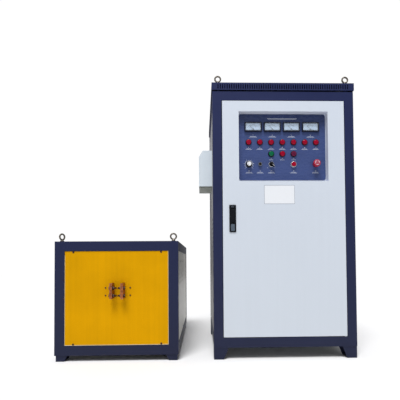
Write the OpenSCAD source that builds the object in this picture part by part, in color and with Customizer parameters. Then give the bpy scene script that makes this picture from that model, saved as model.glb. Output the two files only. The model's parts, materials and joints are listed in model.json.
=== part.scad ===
// Induction furnace: a power cabinet on the right and a low heating station on the left.
// Millimetres, +Z up, the fronts face -Y. The origin is on the floor, at the middle of the footprint.

/* [Layout] */
// Free gap between the heating station and the power cabinet
unit_gap = 182; // [150:1:400]

/* [Power cabinet] */
// Width of the cabinet frame
cab_w = 744; // [740:1:780]
// Depth of the cabinet frame
cab_d = 680; // [660:5:760]
// Top of the cabinet frame above the floor
cab_top = 1395; // [1380:5:1460]
// Underside of the cabinet frame above the floor
cab_base = 60; // [50:1:60]
// Visible width of the upright posts
post_w = 48; // [46:1:52]
// Height of the top and bottom rails
rail_h = 50; // [46:1:52]
// Depth of the folded frame sections
post_d = 40; // [38:1:44]
// Sheet thickness of the frame
sheet_t = 2.5; // [2:0.5:3]
// Height of the top cap's skirt
cap_h = 39; // [36:1:46]
// Shadow gap between the frame and the top cap
cap_gap = 6; // [4:1:8]
// Overhang of the top cap on every side
cap_over = 4; // [2:1:6]
// Pitch of the vent slots in the top cap
vent_pitch = 12; // [11:0.5:16]

/* [Door] */
// Gap between the door and the frame
door_gap = 3; // [2.5:0.1:3.5]
// Depth of the door's folded edge
door_d = 25; // [24:1:26]
// Distance of the pivot axis from the door's edge and from its face
pivot_in = 6; // [5.8:0.1:6]
// Radius of the pivot pins
pivot_r = 3; // [2.5:0.25:3]
// Width of the instrument recess
recess_w = 470; // [468:1:480]
// Height of the instrument recess
recess_h = 368; // [366:1:376]
// Depth of the recess down to the face of the board
recess_d = 31.5; // [28:0.5:34]

/* [Instruments] */
// Pitch of the lamps and switches along a row
lamp_pitch = 60; // [58:1:62]
// Radius of a signal lamp
lamp_r = 14.5; // [13:0.5:15]
// Pitch of the panel meters
meter_pitch = 102.3; // [98:0.1:104]
// Width of a meter's bezel
meter_w = 92; // [88:1:94]
// Height of a meter's bezel
meter_h = 52; // [50:1:54]

/* [Heating station] */
// Width of the station frame
stn_w = 630; // [620:5:680]
// Depth of the station frame
stn_d = 920; // [900:10:1000]
// Top of the station frame above the floor
stn_top = 612; // [600:2:660]
// Underside of the station frame above the floor
stn_base = 30; // [24:1:32]
// Width of the station's frame members
stn_m = 50; // [46:1:52]
// Thickness of the insulating front panel
panel_t = 8; // [6:1:8]
// Distance that the output terminals stand out of the front plane
term_out = 45; // [40:1:50]
// Thickness of an output terminal plate
term_t = 13; // [12:1:14]
// Height of an output terminal plate
term_h = 78; // [74:1:80]
// Clear gap between the two output terminal plates
term_gap = 42; // [40:1:46]

/* [Fittings] */
// Radius of the eye bolts' ring bar
eye_bar_r = 4.25; // [4:0.25:4.5]
// Radius of the eye bolts' ring to the middle of the bar
eye_ring_r = 14.75; // [14.5:0.25:15]
// Outer radius of a hose nipple's tail
nipple_r = 9.5; // [9:0.5:10]
// Bore radius of a hose nipple
nipple_bore_r = 6.5; // [6:0.5:7]
// Bore radius of a large cable gland
gland_bore_r = 12; // [10:1:14]

/* [Hidden] */

// ---- derived places ----
total_w = stn_w + unit_gap + cab_w + cap_over;
sx0 = -total_w / 2;            // station, left side
sx1 = sx0 + stn_w;             // station, right side
cx0 = sx1 + unit_gap;          // cabinet, left side
cx1 = cx0 + cab_w;             // cabinet, right side
F = -stn_d / 2;                // the common front plane
R = F + cab_d;                 // cabinet, rear plane
SR = F + stn_d;                // station, rear plane
cap_z0 = cab_top + cap_gap;
cap_z1 = cap_z0 + cap_h;

ap_x0 = cx0 + post_w;          // door aperture
ap_x1 = cx1 - post_w;
ap_z0 = cab_base + rail_h;
ap_z1 = cab_top - rail_h + 3;
dx0 = ap_x0 + door_gap;        // door leaf
dx1 = ap_x1 - door_gap;
dz0 = ap_z0 + door_gap + 0.5;
dz1 = ap_z1 - door_gap + 0.5;
dcx = (dx0 + dx1) / 2;
px = dx1 - pivot_in;           // door pivot
py = F + pivot_in;

rc_z1 = dz1 - 55.5;            // recess
rc_z0 = rc_z1 - recess_h;
Bf = F + recess_d;             // face of the instrument board
board_t = 3;
pan_t = 1.5;
board_z1 = rc_z1 - 2;
board_z0 = rc_z0 + 12;
meter_z = board_z1 - 70.5;
row1_z = board_z1 - 152;
row2_z = row1_z - 62;
row3_z = row2_z - 56;
meter_x = [for (i = [0:3]) dcx - 2 + (i - 1.5) * meter_pitch];
red_x = [for (i = [-3:3]) dcx + i * lamp_pitch];
knob_x = dcx - 3 * lamp_pitch + 1;
sock_x = dcx - 2 * lamp_pitch;
sel_x = dcx - lamp_pitch;
butt_x = dcx + lamp_pitch - 1;
stop_x = dcx + 3 * lamp_pitch - 4;
cut_w = 85;                    // meter cut-out
cut_h = 45;

lk_x = dx0 + 50.5;             // lock
lk_z = (dz0 + dz1) / 2 - 3.5;
lk_h = 142;
lk_w = 35;

ey = 30;                       // eye bolt inset
fan_x = dcx;
fan_z = cab_top - 215;
mp_y = R - 100;                // mounting plate face
inset = 3;                     // side covers sit this far inside the frame's outline

sax0 = sx0 + stn_m;            // station aperture
sax1 = sx1 - stn_m;
saz0 = stn_base + stn_m;
saz1 = stn_top - stn_m;
tcx = (sx0 + sx1) / 2 + 8;     // middle of the terminals
tz = saz0 + 279;
tx = [tcx - term_gap / 2 - term_t, tcx + term_gap / 2];

navy = [0.17, 0.19, 0.32];
pale = [0.84, 0.87, 0.93];
warm = [0.74, 0.73, 0.70];
copper = [0.60, 0.36, 0.28];
steel = [0.62, 0.64, 0.66];
black = [0.07, 0.07, 0.08];

// ---- helpers ----
module bx(x0, y0, z0, x1, y1, z1) translate([x0, y0, z0]) cube([x1 - x0, y1 - y0, z1 - z0]);
module yc(x, y, z, r, l, n = 48) translate([x, y, z]) rotate([-90, 0, 0]) cylinder(r = r, h = l, $fn = n);
module xc(x, y, z, r, l, n = 48) translate([x, y, z]) rotate([0, 90, 0]) cylinder(r = r, h = l, $fn = n);
module zc(x, y, z, r, l, n = 48) translate([x, y, z]) cylinder(r = r, h = l, $fn = n);
// hexagon prisms, size across flats af
module xhex(x, y, z, af, l) translate([x, y, z]) rotate([0, 90, 0]) cylinder(r = af / sqrt(3), h = l, $fn = 6);
module yhex(x, y, z, af, l) translate([x, y, z]) rotate([-90, 0, 0]) cylinder(r = af / sqrt(3), h = l, $fn = 6);
module zhex(x, y, z, af, l) translate([x, y, z]) cylinder(r = af / sqrt(3), h = l, $fn = 6);
// plate with rounded corners, standing in the XZ plane
module rplate(x0, y0, z0, x1, y1, z1, r) {
  bx(x0 + r, y0, z0, x1 - r, y1, z1);
  bx(x0, y0, z0 + r, x1, y1, z1 - r);
  for (x = [x0 + r, x1 - r], z = [z0 + r, z1 - r]) yc(x, y0, z, r, y1 - y0, 32);
}
// section folded from sheet: a box that is open on one side
module trough(x0, y0, z0, x1, y1, z1, side, t = sheet_t) difference() {
  bx(x0, y0, z0, x1, y1, z1);
  bx(x0 + (side == "-x" ? -1 : t), y0 + (side == "-y" ? -1 : t), z0 + t,
     x1 + (side == "+x" ? 1 : -t), y1 + (side == "+y" ? 1 : -t), z1 - t);
}
// ring in the XZ plane
module xzring(x0, z0, x1, z1, w, y0, y1) difference() {
  bx(x0, y0, z0, x1, y1, z1);
  bx(x0 + w, y0 - 1, z0 + w, x1 - w, y1 + 1, z1 - w);
}
// ring in the YZ plane
module yzring(y0, z0, y1, z1, w, x0, x1) difference() {
  bx(x0, y0, z0, x1, y1, z1);
  bx(x0 - 1, y0 + w, z0 + w, x1 + 1, y1 - w, z1 - w);
}

// ================= power cabinet =================
tr = post_w - sheet_t;
// Side apertures and lips; s = 0 left, s = 1 right
sp_y0 = F + post_d; sp_y1 = R - post_d;
module cabinet_frame() color(navy) difference() {
  union() {
    for (s = [0, 1]) {
      x0 = s == 0 ? cx0 : cx1 - post_w;
      trough(x0, F, cab_base, x0 + post_w, F + post_d, cab_top, "+y");
      trough(x0, R - post_d, cab_base, x0 + post_w, R, cab_top, "-y");
      rx0 = s == 0 ? cx0 : cx1 - 40;
      trough(rx0, sp_y0 - 1, ap_z1, rx0 + 40, sp_y1 + 1, cab_top, s == 0 ? "+x" : "-x");
      trough(rx0, sp_y0 - 1, cab_base, rx0 + 40, sp_y1 + 1, ap_z0, s == 0 ? "+x" : "-x");
      lx = s == 0 ? cx0 + 14 : cx1 - 16;
      yzring(sp_y0 - 1, ap_z0 - 1, sp_y1 + 1, ap_z1 + 1, 16, lx, lx + 2);
    }
    for (z = [[ap_z1, cab_top], [cab_base, ap_z0]]) {
      trough(cx0 + tr, F, z[0], cx1 - tr, F + post_d, z[1], "+y");
      trough(cx0 + tr, R - post_d, z[0], cx1 - tr, R, z[1], "-y");
    }
    // door stop lip and rear panel lip
    xzring(ap_x0 - 1, ap_z0 - 1, ap_x1 + 1, ap_z1 + 1, 13, F + door_d + 2, F + door_d + 5);
    xzring(ap_x0 - 1, ap_z0 - 1, ap_x1 + 1, ap_z1 + 1, 17, R - 16, R - 14);
  }
  // pivot pin holes in the rails
  zc(px, py, ap_z1 - 1, pivot_r + 0.1, 5);
  zc(px, py, ap_z0 - 5, pivot_r + 0.1, 6);
  // keeper notch in the stop lip
  bx(ap_x0 + 0.01, F + door_d, lk_z - 16, ap_x0 + 20, F + door_d + 8, lk_z + 16);
  for (p = side_screws) for (s = [0, 1]) xc((s == 0 ? cx0 : cx1 - 20), p[0], p[1], 2.7, 20, 24);
  for (p = rear_screws) yc(p[0], R - 20, p[1], 2.7, 10, 24);
  for (x = [cx0 + ey, cx1 - ey], y = [F + ey, R - ey]) zc(x, y, cab_top - 5, 5.2, 10, 32);
}
side_screws = [for (y = [sp_y0 + 9, sp_y1 - 9], i = [0:3]) [y, ap_z0 + 9 + i * (ap_z1 - ap_z0 - 18) / 3]];
rear_screws = [for (x = [ap_x0 + 9, ap_x1 - 9], i = [0:3]) [x, ap_z0 + 9 + i * (ap_z1 - ap_z0 - 18) / 3]];

// One foot: an upright plate whose inner edge leans inwards, with a sole plate; m = +1 leans towards +X
module foot(x, y, m, h, wb, wt, d) translate([x, y, 0]) mirror([m > 0 ? 0 : 1, 0, 0]) {
  translate([0, 6, 0]) rotate([90, 0, 0]) linear_extrude(6) polygon([[0, 0], [wb, 0], [wt, h - 5], [wt, h], [0, h]]);
  translate([0, d, 0]) rotate([90, 0, 0]) linear_extrude(6) polygon([[0, 0], [wb, 0], [wt, h - 5], [wt, h], [0, h]]);
  cube([6, d, h]);
  cube([wb, d, 6]);
  translate([0, 0, h - 4]) cube([wt, d, 4]);
}
module cabinet_feet() color(navy) for (s = [0, 1], y = [F + 3, R - 73])
  foot(s == 0 ? cx0 : cx1, y, s == 0 ? 1 : -1, cab_base, 50, 74, 70);

module cabinet_top_cap() color(navy) difference() {
  union() {
    difference() {
      bx(cx0 - cap_over, F - cap_over, cap_z0, cx1 + cap_over, R + cap_over, cap_z1);
      bx(cx0 - cap_over + 2, F - cap_over + 2, cap_z0 - 1, cx1 + cap_over - 2, R + cap_over - 2, cap_z1 - 2);
    }
    for (x = [cx0 + ey, cx1 - ey], y = [F + ey, R - ey]) zc(x, y, cab_top, 12, cap_z1 - 1 - cab_top);
  }
  n = floor((cab_w - 60) / vent_pitch);
  for (i = [0:n]) {
    x = (cx0 + cx1) / 2 + (i - n / 2) * vent_pitch;
    bx(x - 2.5, F - 10, cap_z0 + 6, x + 2.5, F + 4, cap_z1 - 9);
    bx(x - 2.5, R - 4, cap_z0 + 6, x + 2.5, R + 10, cap_z1 - 9);
  }
  for (x = [cx0 + ey, cx1 - ey], y = [F + ey, R - ey]) zc(x, y, cab_top - 1, 5.2, cap_h + 20, 32);
}

// Eye bolt seated at z; a = turn of the ring; up = height of the lock nut under the collar
module eye_bolt(x, y, z, a, up, down) translate([x, y, z]) {
  translate([0, 0, 25 + up]) rotate([90, 0, a]) rotate_extrude($fn = 64) translate([eye_ring_r, 0]) circle(r = eye_bar_r, $fn = 32);
  translate([0, 0, up]) cylinder(r = 10, h = 5.5, $fn = 48);
  translate([0, 0, up + 5]) cylinder(r1 = 8, r2 = 5, h = 6.6, $fn = 48);
  translate([0, 0, -down]) cylinder(r = 5, h = down + up + 2, $fn = 48);
  if (up > 0) difference() { cylinder(r = 17 / sqrt(3), h = up, $fn = 6); translate([0, 0, -1]) cylinder(r = 5, h = up + 2, $fn = 48); }
  translate([0, 0, -down]) cylinder(r = 17 / sqrt(3), h = 7, $fn = 6);
}
module cabinet_eye_bolts() color(steel) for (x = [cx0 + ey, cx1 - ey], y = [F + ey, R - ey])
  eye_bolt(x, y, cap_z1, 0, 9, cap_h + cap_gap + sheet_t + 7);

// Louvre slots of a cover sheet in the YZ plane, centred on yc0, from z0 up, n rows
module louvres_x(x0, x1, yc0, w, z0, n, pitch) for (i = [0:n - 1]) bx(x0, yc0 - w / 2, z0 + i * pitch, x1, yc0 + w / 2, z0 + i * pitch + 5);
module cabinet_side_panels() color(warm) for (s = [0, 1]) {
  xa = s == 0 ? cx0 + inset : cx1 - inset - 1.5;
  xb = s == 0 ? cx0 + inset : cx1 - 14;
  difference() {
    union() {
      bx(xa, sp_y0 + 1, ap_z0 + 1, xa + 1.5, sp_y1 - 1, ap_z1 - 1);
      yzring(sp_y0 + 1, ap_z0 + 1, sp_y1 - 1, ap_z1 - 1, 1.5, xb, xb + 14 - inset);
    }
    for (p = side_screws) xc(xa - 5, p[0], p[1], 2.7, 12, 24);
    for (yy = [sp_y0 + 115, sp_y1 - 115]) louvres_x(xa - 3, xa + 5, yy, 150, 300, s == 0 ? 18 : 24, 26);
    if (s == 0) louvres_x(xa - 3, xa + 5, sp_y1 - 115, 150, 300 + 18 * 26, 12, 26);
    if (s == 0) for (i = [0, 1]) xc(xa - 5, F + 280 + i * 90, cab_base + 980, 16, 12);
  }
}
module cabinet_rear_panel() color(warm) difference() {
  union() {
    bx(ap_x0 + 1, R - 2.5, ap_z0 + 1, ap_x1 - 1, R - 1, ap_z1 - 1);
    xzring(ap_x0 + 1, ap_z0 + 1, ap_x1 - 1, ap_z1 - 1, 1.5, R - 14, R - 1);
  }
  yc(fan_x, R - 5, fan_z, 88, 10, 64);
  for (x = [-1, 1], z = [-1, 1]) yc(fan_x + x * 88, R - 5, fan_z + z * 88, 2.7, 10, 24);
  for (p = rear_screws) yc(p[0], R - 5, p[1], 2.7, 10, 24);
  for (p = cab_nipples) yc(p[0], R - 5, p[1], nipple_bore_r + 5.6, 10);
  for (p = cab_glands) yc(p[0], R - 5, p[1], gland_bore_r + 5.6, 10);
  for (i = [0:15]) bx(dcx - 210, R - 5, 420 + i * 26, dcx - 40, R + 1, 425 + i * 26);
  for (i = [0:15]) bx(dcx + 40, R - 5, 420 + i * 26, dcx + 210, R + 1, 425 + i * 26);
}
cab_nipples = [for (i = [0:3]) [dcx + 120 + i * 50, 230]];
cab_glands = [for (i = [0:2]) [dcx - 240 + i * 60, 230]];

module screw_x(x, y, z, m, r = 5, l = 9) { xc(m > 0 ? x - l : x, y, z, 2.5, l, 24); xc(m > 0 ? x : x - 2.6, y, z, r, 2.6, 24); }
module screw_y(x, y, z, m, r = 5, l = 9) { yc(x, m > 0 ? y - l : y, z, 2.5, l, 24); yc(x, m > 0 ? y : y - 2.6, z, r, 2.6, 24); }
module cabinet_screws() color(steel) {
  for (p = side_screws) { screw_x(cx0 + inset, p[0], p[1], -1, 5, 14); screw_x(cx1 - inset, p[0], p[1], 1, 5, 14); }
  for (p = rear_screws) screw_y(p[0], R - 1, p[1], 1, 5, 16);
  for (x = [-1, 1], z = [-1, 1]) screw_y(fan_x + x * 88, R - 1, fan_z + z * 88, 1, 4.5, 12);
}

// Vertical mounting plate with bent ends, and the floor plate
module cabinet_mounting_plates() color([0.70, 0.71, 0.70]) {
  difference() {
    union() {
      bx(ap_x0 + 4, mp_y, 140, ap_x1 - 4, mp_y + 2.5, ap_z1 - 28);
      for (s = [0, 1]) {
        x = s == 0 ? ap_x0 + 4 : ap_x1 - 6.5;
        bx(x, mp_y, 140, x + 2.5, R - post_d, ap_z1 - 28);
        bx(s == 0 ? x - 22 : x, R - post_d - 2.5, 140, s == 0 ? x + 2.5 : x + 24.5, R - post_d, ap_z1 - 28);
      }
    }
    yc(fan_x, mp_y - 1, fan_z, 80, 5, 48);
  }
  difference() {
    bx(cx0 + 20, F + post_d + 3, ap_z0, cx1 - 20, R - post_d - 3, ap_z0 + 2.5);
    for (i = [0:2]) zc(dcx - 220 + i * 90, mp_y + 35, ap_z0 - 1, 20, 5);
  }
}

// Moulded-case breaker with its toggle slot
mb_x = ap_x0 + 70; mb_z = ap_z1 - 225; mb_y = mp_y - 86;
module main_breaker() color(black) {
  difference() {
    union() {
      bx(mb_x, mb_y + 14, mb_z, mb_x + 107, mp_y, mb_z + 165);
      bx(mb_x + 8, mb_y, mb_z + 40, mb_x + 99, mb_y + 20, mb_z + 125);
    }
    bx(mb_x + 43, mb_y - 1, mb_z + 57, mb_x + 64, mb_y + 26, mb_z + 108);
    for (i = [0:2]) for (z = [mb_z - 1, mb_z + 144]) bx(mb_x + 8 + i * 33.5, mb_y + 13, z, mb_x + 31 + i * 33.5, mb_y + 60, z + 22);
  }
  xc(mb_x + 42, mb_y + 12, mb_z + 82.5, 2, 23, 24);
  for (i = [0:2]) for (z = [mb_z + 10, mb_z + 155]) yc(mb_x + 19.5 + i * 33.5, mb_y + 52, z, 5, 10, 24);
}
module breaker_lever() color([0.12, 0.12, 0.13]) difference() {
  translate([mb_x + 45.5, mb_y + 12, mb_z + 82.5]) rotate([-20, 0, 0]) {
    xc(0, 0, 0, 8, 16, 32);
    bx(1, -30, -4, 15, 0, 4);
  }
  xc(mb_x + 40, mb_y + 12, mb_z + 82.5, 2.05, 30, 24);
}

// Water-cooled plate with its channel stubs, and the modules on it
cp_x = ap_x0 + 60; cp_z = 420;
module cold_plate() color([0.78, 0.79, 0.80]) {
  bx(cp_x, mp_y - 28, cp_z, cp_x + 300, mp_y, cp_z + 460);
  for (i = [0:5]) zc(cp_x + 25 + i * 50, mp_y - 14, cp_z - 22, 7, 22, 32);
}
module power_modules() color([0.13, 0.13, 0.14]) {
  for (i = [0:2]) translate([cp_x + 30, mp_y - 58, cp_z + 30 + i * 100]) {
    cube([106, 30, 62]);
    for (k = [0:2]) translate([14 + k * 28, -6, 18]) cube([18, 6, 26]);
  }
  for (i = [0:3]) translate([cp_x + 170, mp_y - 62, cp_z + 20 + i * 105]) {
    cube([94, 34, 80]);
    for (k = [0:2]) translate([10 + k * 27, -6, 28]) cube([18, 6, 22]);
  }
}
module dc_capacitors() color([0.20, 0.24, 0.33]) for (i = [0:3], k = [0, 1]) translate([dcx + 30 + i * 80, R - 310 + k * 95, ap_z0 + 2.5]) {
  cylinder(r = 37.5, h = 140, $fn = 64);
  for (s = [-1, 1]) translate([s * 14, 0, 139]) cylinder(r = 6, h = 12, $fn = 32);
}
// Iron core with two coils, standing on the floor plate
module smoothing_reactor() color([0.42, 0.25, 0.18]) translate([ap_x0 + 40, R - 330, ap_z0 + 2.5]) {
  difference() {
    translate([0, 30, 20]) cube([240, 90, 220]);
    translate([60, 29, 70]) cube([120, 92, 120]);
  }
  for (x = [0, 180]) difference() {
    translate([x - 18, 8, 74]) cube([96, 134, 112]);
    translate([x - 0.5, 29.5, 73]) cube([61, 91, 114]);
  }
  for (x = [10, 200], y = [20, 120]) translate([x, y, 0]) cube([30, 10, 62]);
}
module control_board() color([0.10, 0.33, 0.22]) {
  translate([dcx + 60, mp_y - 20, 830]) {
    cube([230, 2, 300]);
    for (x = [12, 218], z = [12, 288]) yc(x, 2, z, 4, 18, 24);
    translate([20, -14, 200]) cube([60, 14, 80]);
    translate([100, -10, 60]) cube([46, 10, 46]);
    translate([20, -18, 20]) cube([190, 18, 14]);
    translate([100, -26, 220]) cube([50, 26, 44]);
  }
  // control transformer under the board
  translate([dcx + 80, mp_y - 90, 640]) {
    translate([0, 20, 0]) cube([110, 70, 18]);
    translate([0, 10, 18]) cube([110, 60, 92]);
    translate([18, 0, 36]) cube([74, 80, 56]);
  }
}
module cabinet_busbars() color(copper) {
  for (i = [0:2]) {
    x = mb_x + 9.5 + i * 33.5;
    bx(x, mb_y + 44, cp_z + 470, x + 20, mb_y + 48, mb_z + 14);
    bx(x, mb_y + 48, cp_z + 472, x + 20, mp_y, cp_z + 492);
  }
  bx(cp_x + 34, mp_y - 70, cp_z + 46, cp_x + 124, mp_y - 64, cp_z + 306);
  bx(cp_x + 178, mp_y - 74, cp_z + 46, cp_x + 258, mp_y - 68, cp_z + 386);
  for (i = [0, 1]) bx(dcx - 20, R - 317 + i * 95, ap_z0 + 153.5, dcx + 310, R - 303 + i * 95, ap_z0 + 157.5);
}

// Hose nipple through a sheet whose outer face is at y; the tail points to +Y
module nipple(x, y, z, in) {
  difference() {
    union() {
      yc(x, y - in, z, nipple_bore_r + 5, in + 12);
      yhex(x, y, z, 30, 9);
      yhex(x, y - 1.6 - 8, z, 30, 8);
      yc(x, y + 8, z, nipple_r, 38);
    }
    yc(x, y - in - 1, z, nipple_bore_r, in + 60);
  }
}
module cabinet_hose_nipples() color([0.72, 0.58, 0.34]) {
  for (p = cab_nipples) nipple(p[0], R - 1, p[1], 30);
  // manifold tube across the nipples
  difference() {
    bx(cab_nipples[0][0] - 24, R - 58, 216, cab_nipples[3][0] + 24, R - 31, 244);
    for (p = cab_nipples) yc(p[0], R - 48, p[1], nipple_bore_r, 40);
  }
}
// Cable gland pointing along +Y
module gland(x, y, z, r) difference() {
  union() {
    yhex(x, y, z, (r + 6) * 2, 7);
    yc(x, y + 6, z, r + 5, 10);
    yhex(x, y + 12, z, (r + 5.5) * 2, 16);
    yc(x, y - 14, z, r + 5, 16);
    yhex(x, y - 8.6, z, (r + 6.5) * 2, 6);
  }
  yc(x, y - 20, z, r, 60);
}
module cabinet_cable_glands() color(black) {
  for (p = cab_glands) gland(p[0], R - 1, p[1], gland_bore_r);
}

module fan_housing() color(black) difference() {
  union() {
    difference() {
      bx(fan_x - 100, R - 42.5, fan_z - 100, fan_x + 100, R - 2.5, fan_z + 100);
      yc(fan_x, R - 60, fan_z, 90, 80, 64);
      for (x = [-1, 1], z = [-1, 1]) yc(fan_x + x * 88, R - 60, fan_z + z * 88, 2.7, 80, 24);
    }
    yc(fan_x, R - 13, fan_z, 30, 10.5);
    for (a = [45:90:315]) translate([fan_x, R - 13, fan_z]) rotate([0, a, 0]) translate([28, 0, -4]) cube([66, 7, 8]);
    yc(fan_x, R - 36, fan_z, 3, 25, 32);
  }
}
module fan_rotor() color([0.15, 0.16, 0.18]) translate([fan_x, R - 38, fan_z]) difference() {
  union() {
    rotate([-90, 0, 0]) cylinder(r = 27, h = 23, $fn = 64);
    for (i = [0:6]) rotate([0, i * 360 / 7, 0]) translate([24, 11.5, 0]) rotate([35, 0, 0]) translate([0, -11, -1.5]) cube([62, 22, 3]);
  }
  rotate([-90, 0, 0]) translate([0, 0, 1.5]) cylinder(r = 3.05, h = 40, $fn = 32);
}

module door_hinge_pins() color(steel) {
  zc(px, py, dz1 - 18, pivot_r, ap_z1 + sheet_t + 4 - dz1 + 18);
  // each head has a flat that clears the front wall of its rail
  difference() { zc(px, py, ap_z1 + sheet_t, 5, 4, 32); bx(px - 6, py - 6, ap_z1, px + 6, F + sheet_t + 0.3, ap_z1 + 12); }
  zc(px, py, ap_z0 - sheet_t - 4, pivot_r, dz0 + 18 - ap_z0 + sheet_t + 4);
  difference() { zc(px, py, ap_z0 - sheet_t - 4, 5, 4, 32); bx(px - 6, py - 6, ap_z0 - 12, px + 6, F + sheet_t + 0.3, ap_z0); }
  difference() { zc(px, py, ap_z0, 5.4, 3, 32); zc(px, py, ap_z0 - 1, pivot_r, 5, 32); }
}

// Connection box on the left wall: a folded cover and the floor plate under it
sb_y0 = F + 230; sb_y1 = sb_y0 + 210; sb_z0 = cab_base + 885; sb_z1 = sb_z0 + 212; sb_w = 74;
module sb_prof(i) polygon([[cx0 + inset, sb_z0], [cx0 - sb_w + i, sb_z0], [cx0 - sb_w + i, sb_z1 - 37 - i * 0.4], [cx0 - sb_w + 23 + i * 0.8, sb_z1 - i], [cx0 + inset, sb_z1 - i]]);
module side_box_cover() color([0.72, 0.77, 0.82]) difference() {
  translate([0, sb_y1, 0]) rotate([90, 0, 0]) linear_extrude(sb_y1 - sb_y0) sb_prof(0);
  translate([0, sb_y1 - 2, -1]) rotate([90, 0, 0]) linear_extrude(sb_y1 - sb_y0 - 4) intersection() { translate([0, 1]) sb_prof(2); translate([cx0 - 200, sb_z0]) square([200 + inset + 0.01, 400]); }
  bx(cx0 - sb_w + 2, sb_y0 + 2, sb_z0 - 1, cx0 + inset + 1, sb_y1 - 2, sb_z0 + 20);
}
// the floor of the box leaves a cable slot along its front edge
module side_box_base() color([0.55, 0.60, 0.57]) {
  bx(cx0 - sb_w + 2, sb_y0 + 34, sb_z0 + 1, cx0 + inset, sb_y1 - 2, sb_z0 + 3);
  bx(cx0 - sb_w + 2, sb_y0 + 34, sb_z0 + 1, cx0 + inset, sb_y0 + 36, sb_z0 + 14);
}

// ================= door =================
module door_leaf() color(pale) difference() {
  union() {
    bx(dx0, F, dz0, dx1, F + 2, dz1);
    xzring(dx0, dz0, dx1, dz1, 2, F, F + door_d);
    for (z = [300, 560]) trough(dx0 + 30, F + 1, z, dx1 - 30, F + 16, z + 36, "-y", 1.5);
    for (z = [300, 560]) bx(dx0 + 30, F + 1, z, dx1 - 30, F + 2, z + 36);
  }
  bx(dcx - recess_w / 2, F - 1, rc_z0, dcx + recess_w / 2, F + 5, rc_z1);
  bx(lk_x - lk_w / 2 + 2, F - 1, lk_z - lk_h / 2 + 2, lk_x + lk_w / 2 - 2, F + 5, lk_z + lk_h / 2 - 2);
  zc(px, py, dz1 - 4, pivot_r + 0.05, 6);
  zc(px, py, dz0 - 2, pivot_r + 0.05, 6);
}
module instrument_pan() color([0.86, 0.87, 0.88]) difference() {
  union() {
    bx(dcx - recess_w / 2 - pan_t, F + 2, rc_z0 - pan_t, dcx + recess_w / 2 + pan_t, Bf + board_t + pan_t, rc_z1 + pan_t);
    bx(dcx - recess_w / 2 - 12, F + 2, rc_z0 - 12, dcx + recess_w / 2 + 12, F + 3.5, rc_z1 + 12);
  }
  bx(dcx - recess_w / 2, F - 1, rc_z0, dcx + recess_w / 2, Bf + board_t, rc_z1);
  bx(dcx - recess_w / 2 + 17, F - 1, board_z0 + 14, dcx + recess_w / 2 - 17, Bf + board_t + 5, board_z1 - 14);
}
module panel_holes(c) {
  for (x = meter_x) bx(x - cut_w / 2, Bf - 1, meter_z - cut_h / 2, x + cut_w / 2, Bf + 10, meter_z + cut_h / 2);
  for (x = red_x) yc(x, Bf - 1, row1_z, 11 + c, 10);
  for (i = [-1:1]) yc(dcx + i * lamp_pitch, Bf - 1, row2_z, 11 + c, 10);
  yc(knob_x, Bf - 1, row3_z, 4.8 + c, 10);
  yc(sock_x, Bf - 1, row3_z, 8.5 + c, 10);
  for (x = [sel_x, butt_x, stop_x]) yc(x, Bf - 1, row3_z, 11 + c, 10);
}
module instrument_board() color([0.28, 0.33, 0.54]) difference() {
  rplate(dcx - recess_w / 2 + 3, Bf, board_z0, dcx + recess_w / 2 - 3, Bf + board_t, board_z1, 14);
  panel_holes(0.15);
}
module door_hinge_lugs() color(steel) for (s = [0, 1]) difference() {
  z = s == 0 ? dz0 + 2 : dz1 - 22;
  bx(px - 12, F + 2, z, dx1 - 2, F + 16, z + 20);
  zc(px, py, z - 1, pivot_r + 0.05, 22);
}
module door_seal() color([0.10, 0.10, 0.11]) xzring(dx0 + 0.5, dz0 + 0.5, dx1 - pivot_in - 1, dz1 - 0.5, 8, F + door_d, F + door_d + 1.6);

// Flush lever lock: plate, body, lever pocket and button pocket
lh_z = lk_z + 48;              // lever pivot
module lock_housing() color(black) {
  difference() {
    union() {
      rplate(lk_x - lk_w / 2, F - 4, lk_z - lk_h / 2, lk_x + lk_w / 2, F, lk_z + lk_h / 2, 4);
      bx(lk_x - lk_w / 2 + 3, F - 1, lk_z - lk_h / 2 + 3, lk_x + lk_w / 2 - 3, F + 26, lk_z + lk_h / 2 - 3);
    }
    bx(lk_x - 10.5, F - 5, lk_z - 26, lk_x + 10.5, F + 10, lk_z + 55);
    bx(lk_x - 10.6, F - 5, lk_z - 65, lk_x + 10.6, F + 16, lk_z - 28);
  }
  xc(lk_x - 11, F + 1, lh_z, 2, 22, 24);
  // guides that hold the bolt against the back of the body
  for (z = [lk_z - 14, lk_z + 10]) bx(lk_x - 12, F + 26, z, lk_x + 12, F + 37.6, z + 4);
  bx(lk_x - 12, F + 36.4, lk_z - 14, lk_x + 12, F + 37.6, lk_z + 14);
}
module lock_handle() color(black) difference() {
  union() {
    xc(lk_x - 9.8, F + 1, lh_z, 4, 19.6, 32);
    bx(lk_x - 9.8, F - 3, lk_z - 20, lk_x + 9.8, F + 5, lh_z);
  }
  xc(lk_x - 20, F + 1, lh_z, 2.05, 40, 24);
  bx(lk_x - 6, F + 1.5, lk_z - 12, lk_x + 6, F + 6, lk_z + 34);
}
module lock_button() color([0.55, 0.60, 0.65]) difference() {
  union() {
    rplate(lk_x - 10, F - 6, lk_z - 64.4, lk_x + 10, F + 9, lk_z - 28.6, 5);
    yc(lk_x, F - 7.5, lk_z - 44, 6.5, 5, 32);
  }
  bx(lk_x - 0.8, F - 9, lk_z - 48, lk_x + 0.8, F - 5, lk_z - 40);
}
module latch_bolt() color(steel) {
  bx(ap_x0 + 2, F + 31, lk_z - 9.5, lk_x + 16, F + 36, lk_z + 9.5);
  bx(lk_x - 8, F + 26.4, lk_z - 6, lk_x + 8, F + 31.5, lk_z + 6);
}

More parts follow.
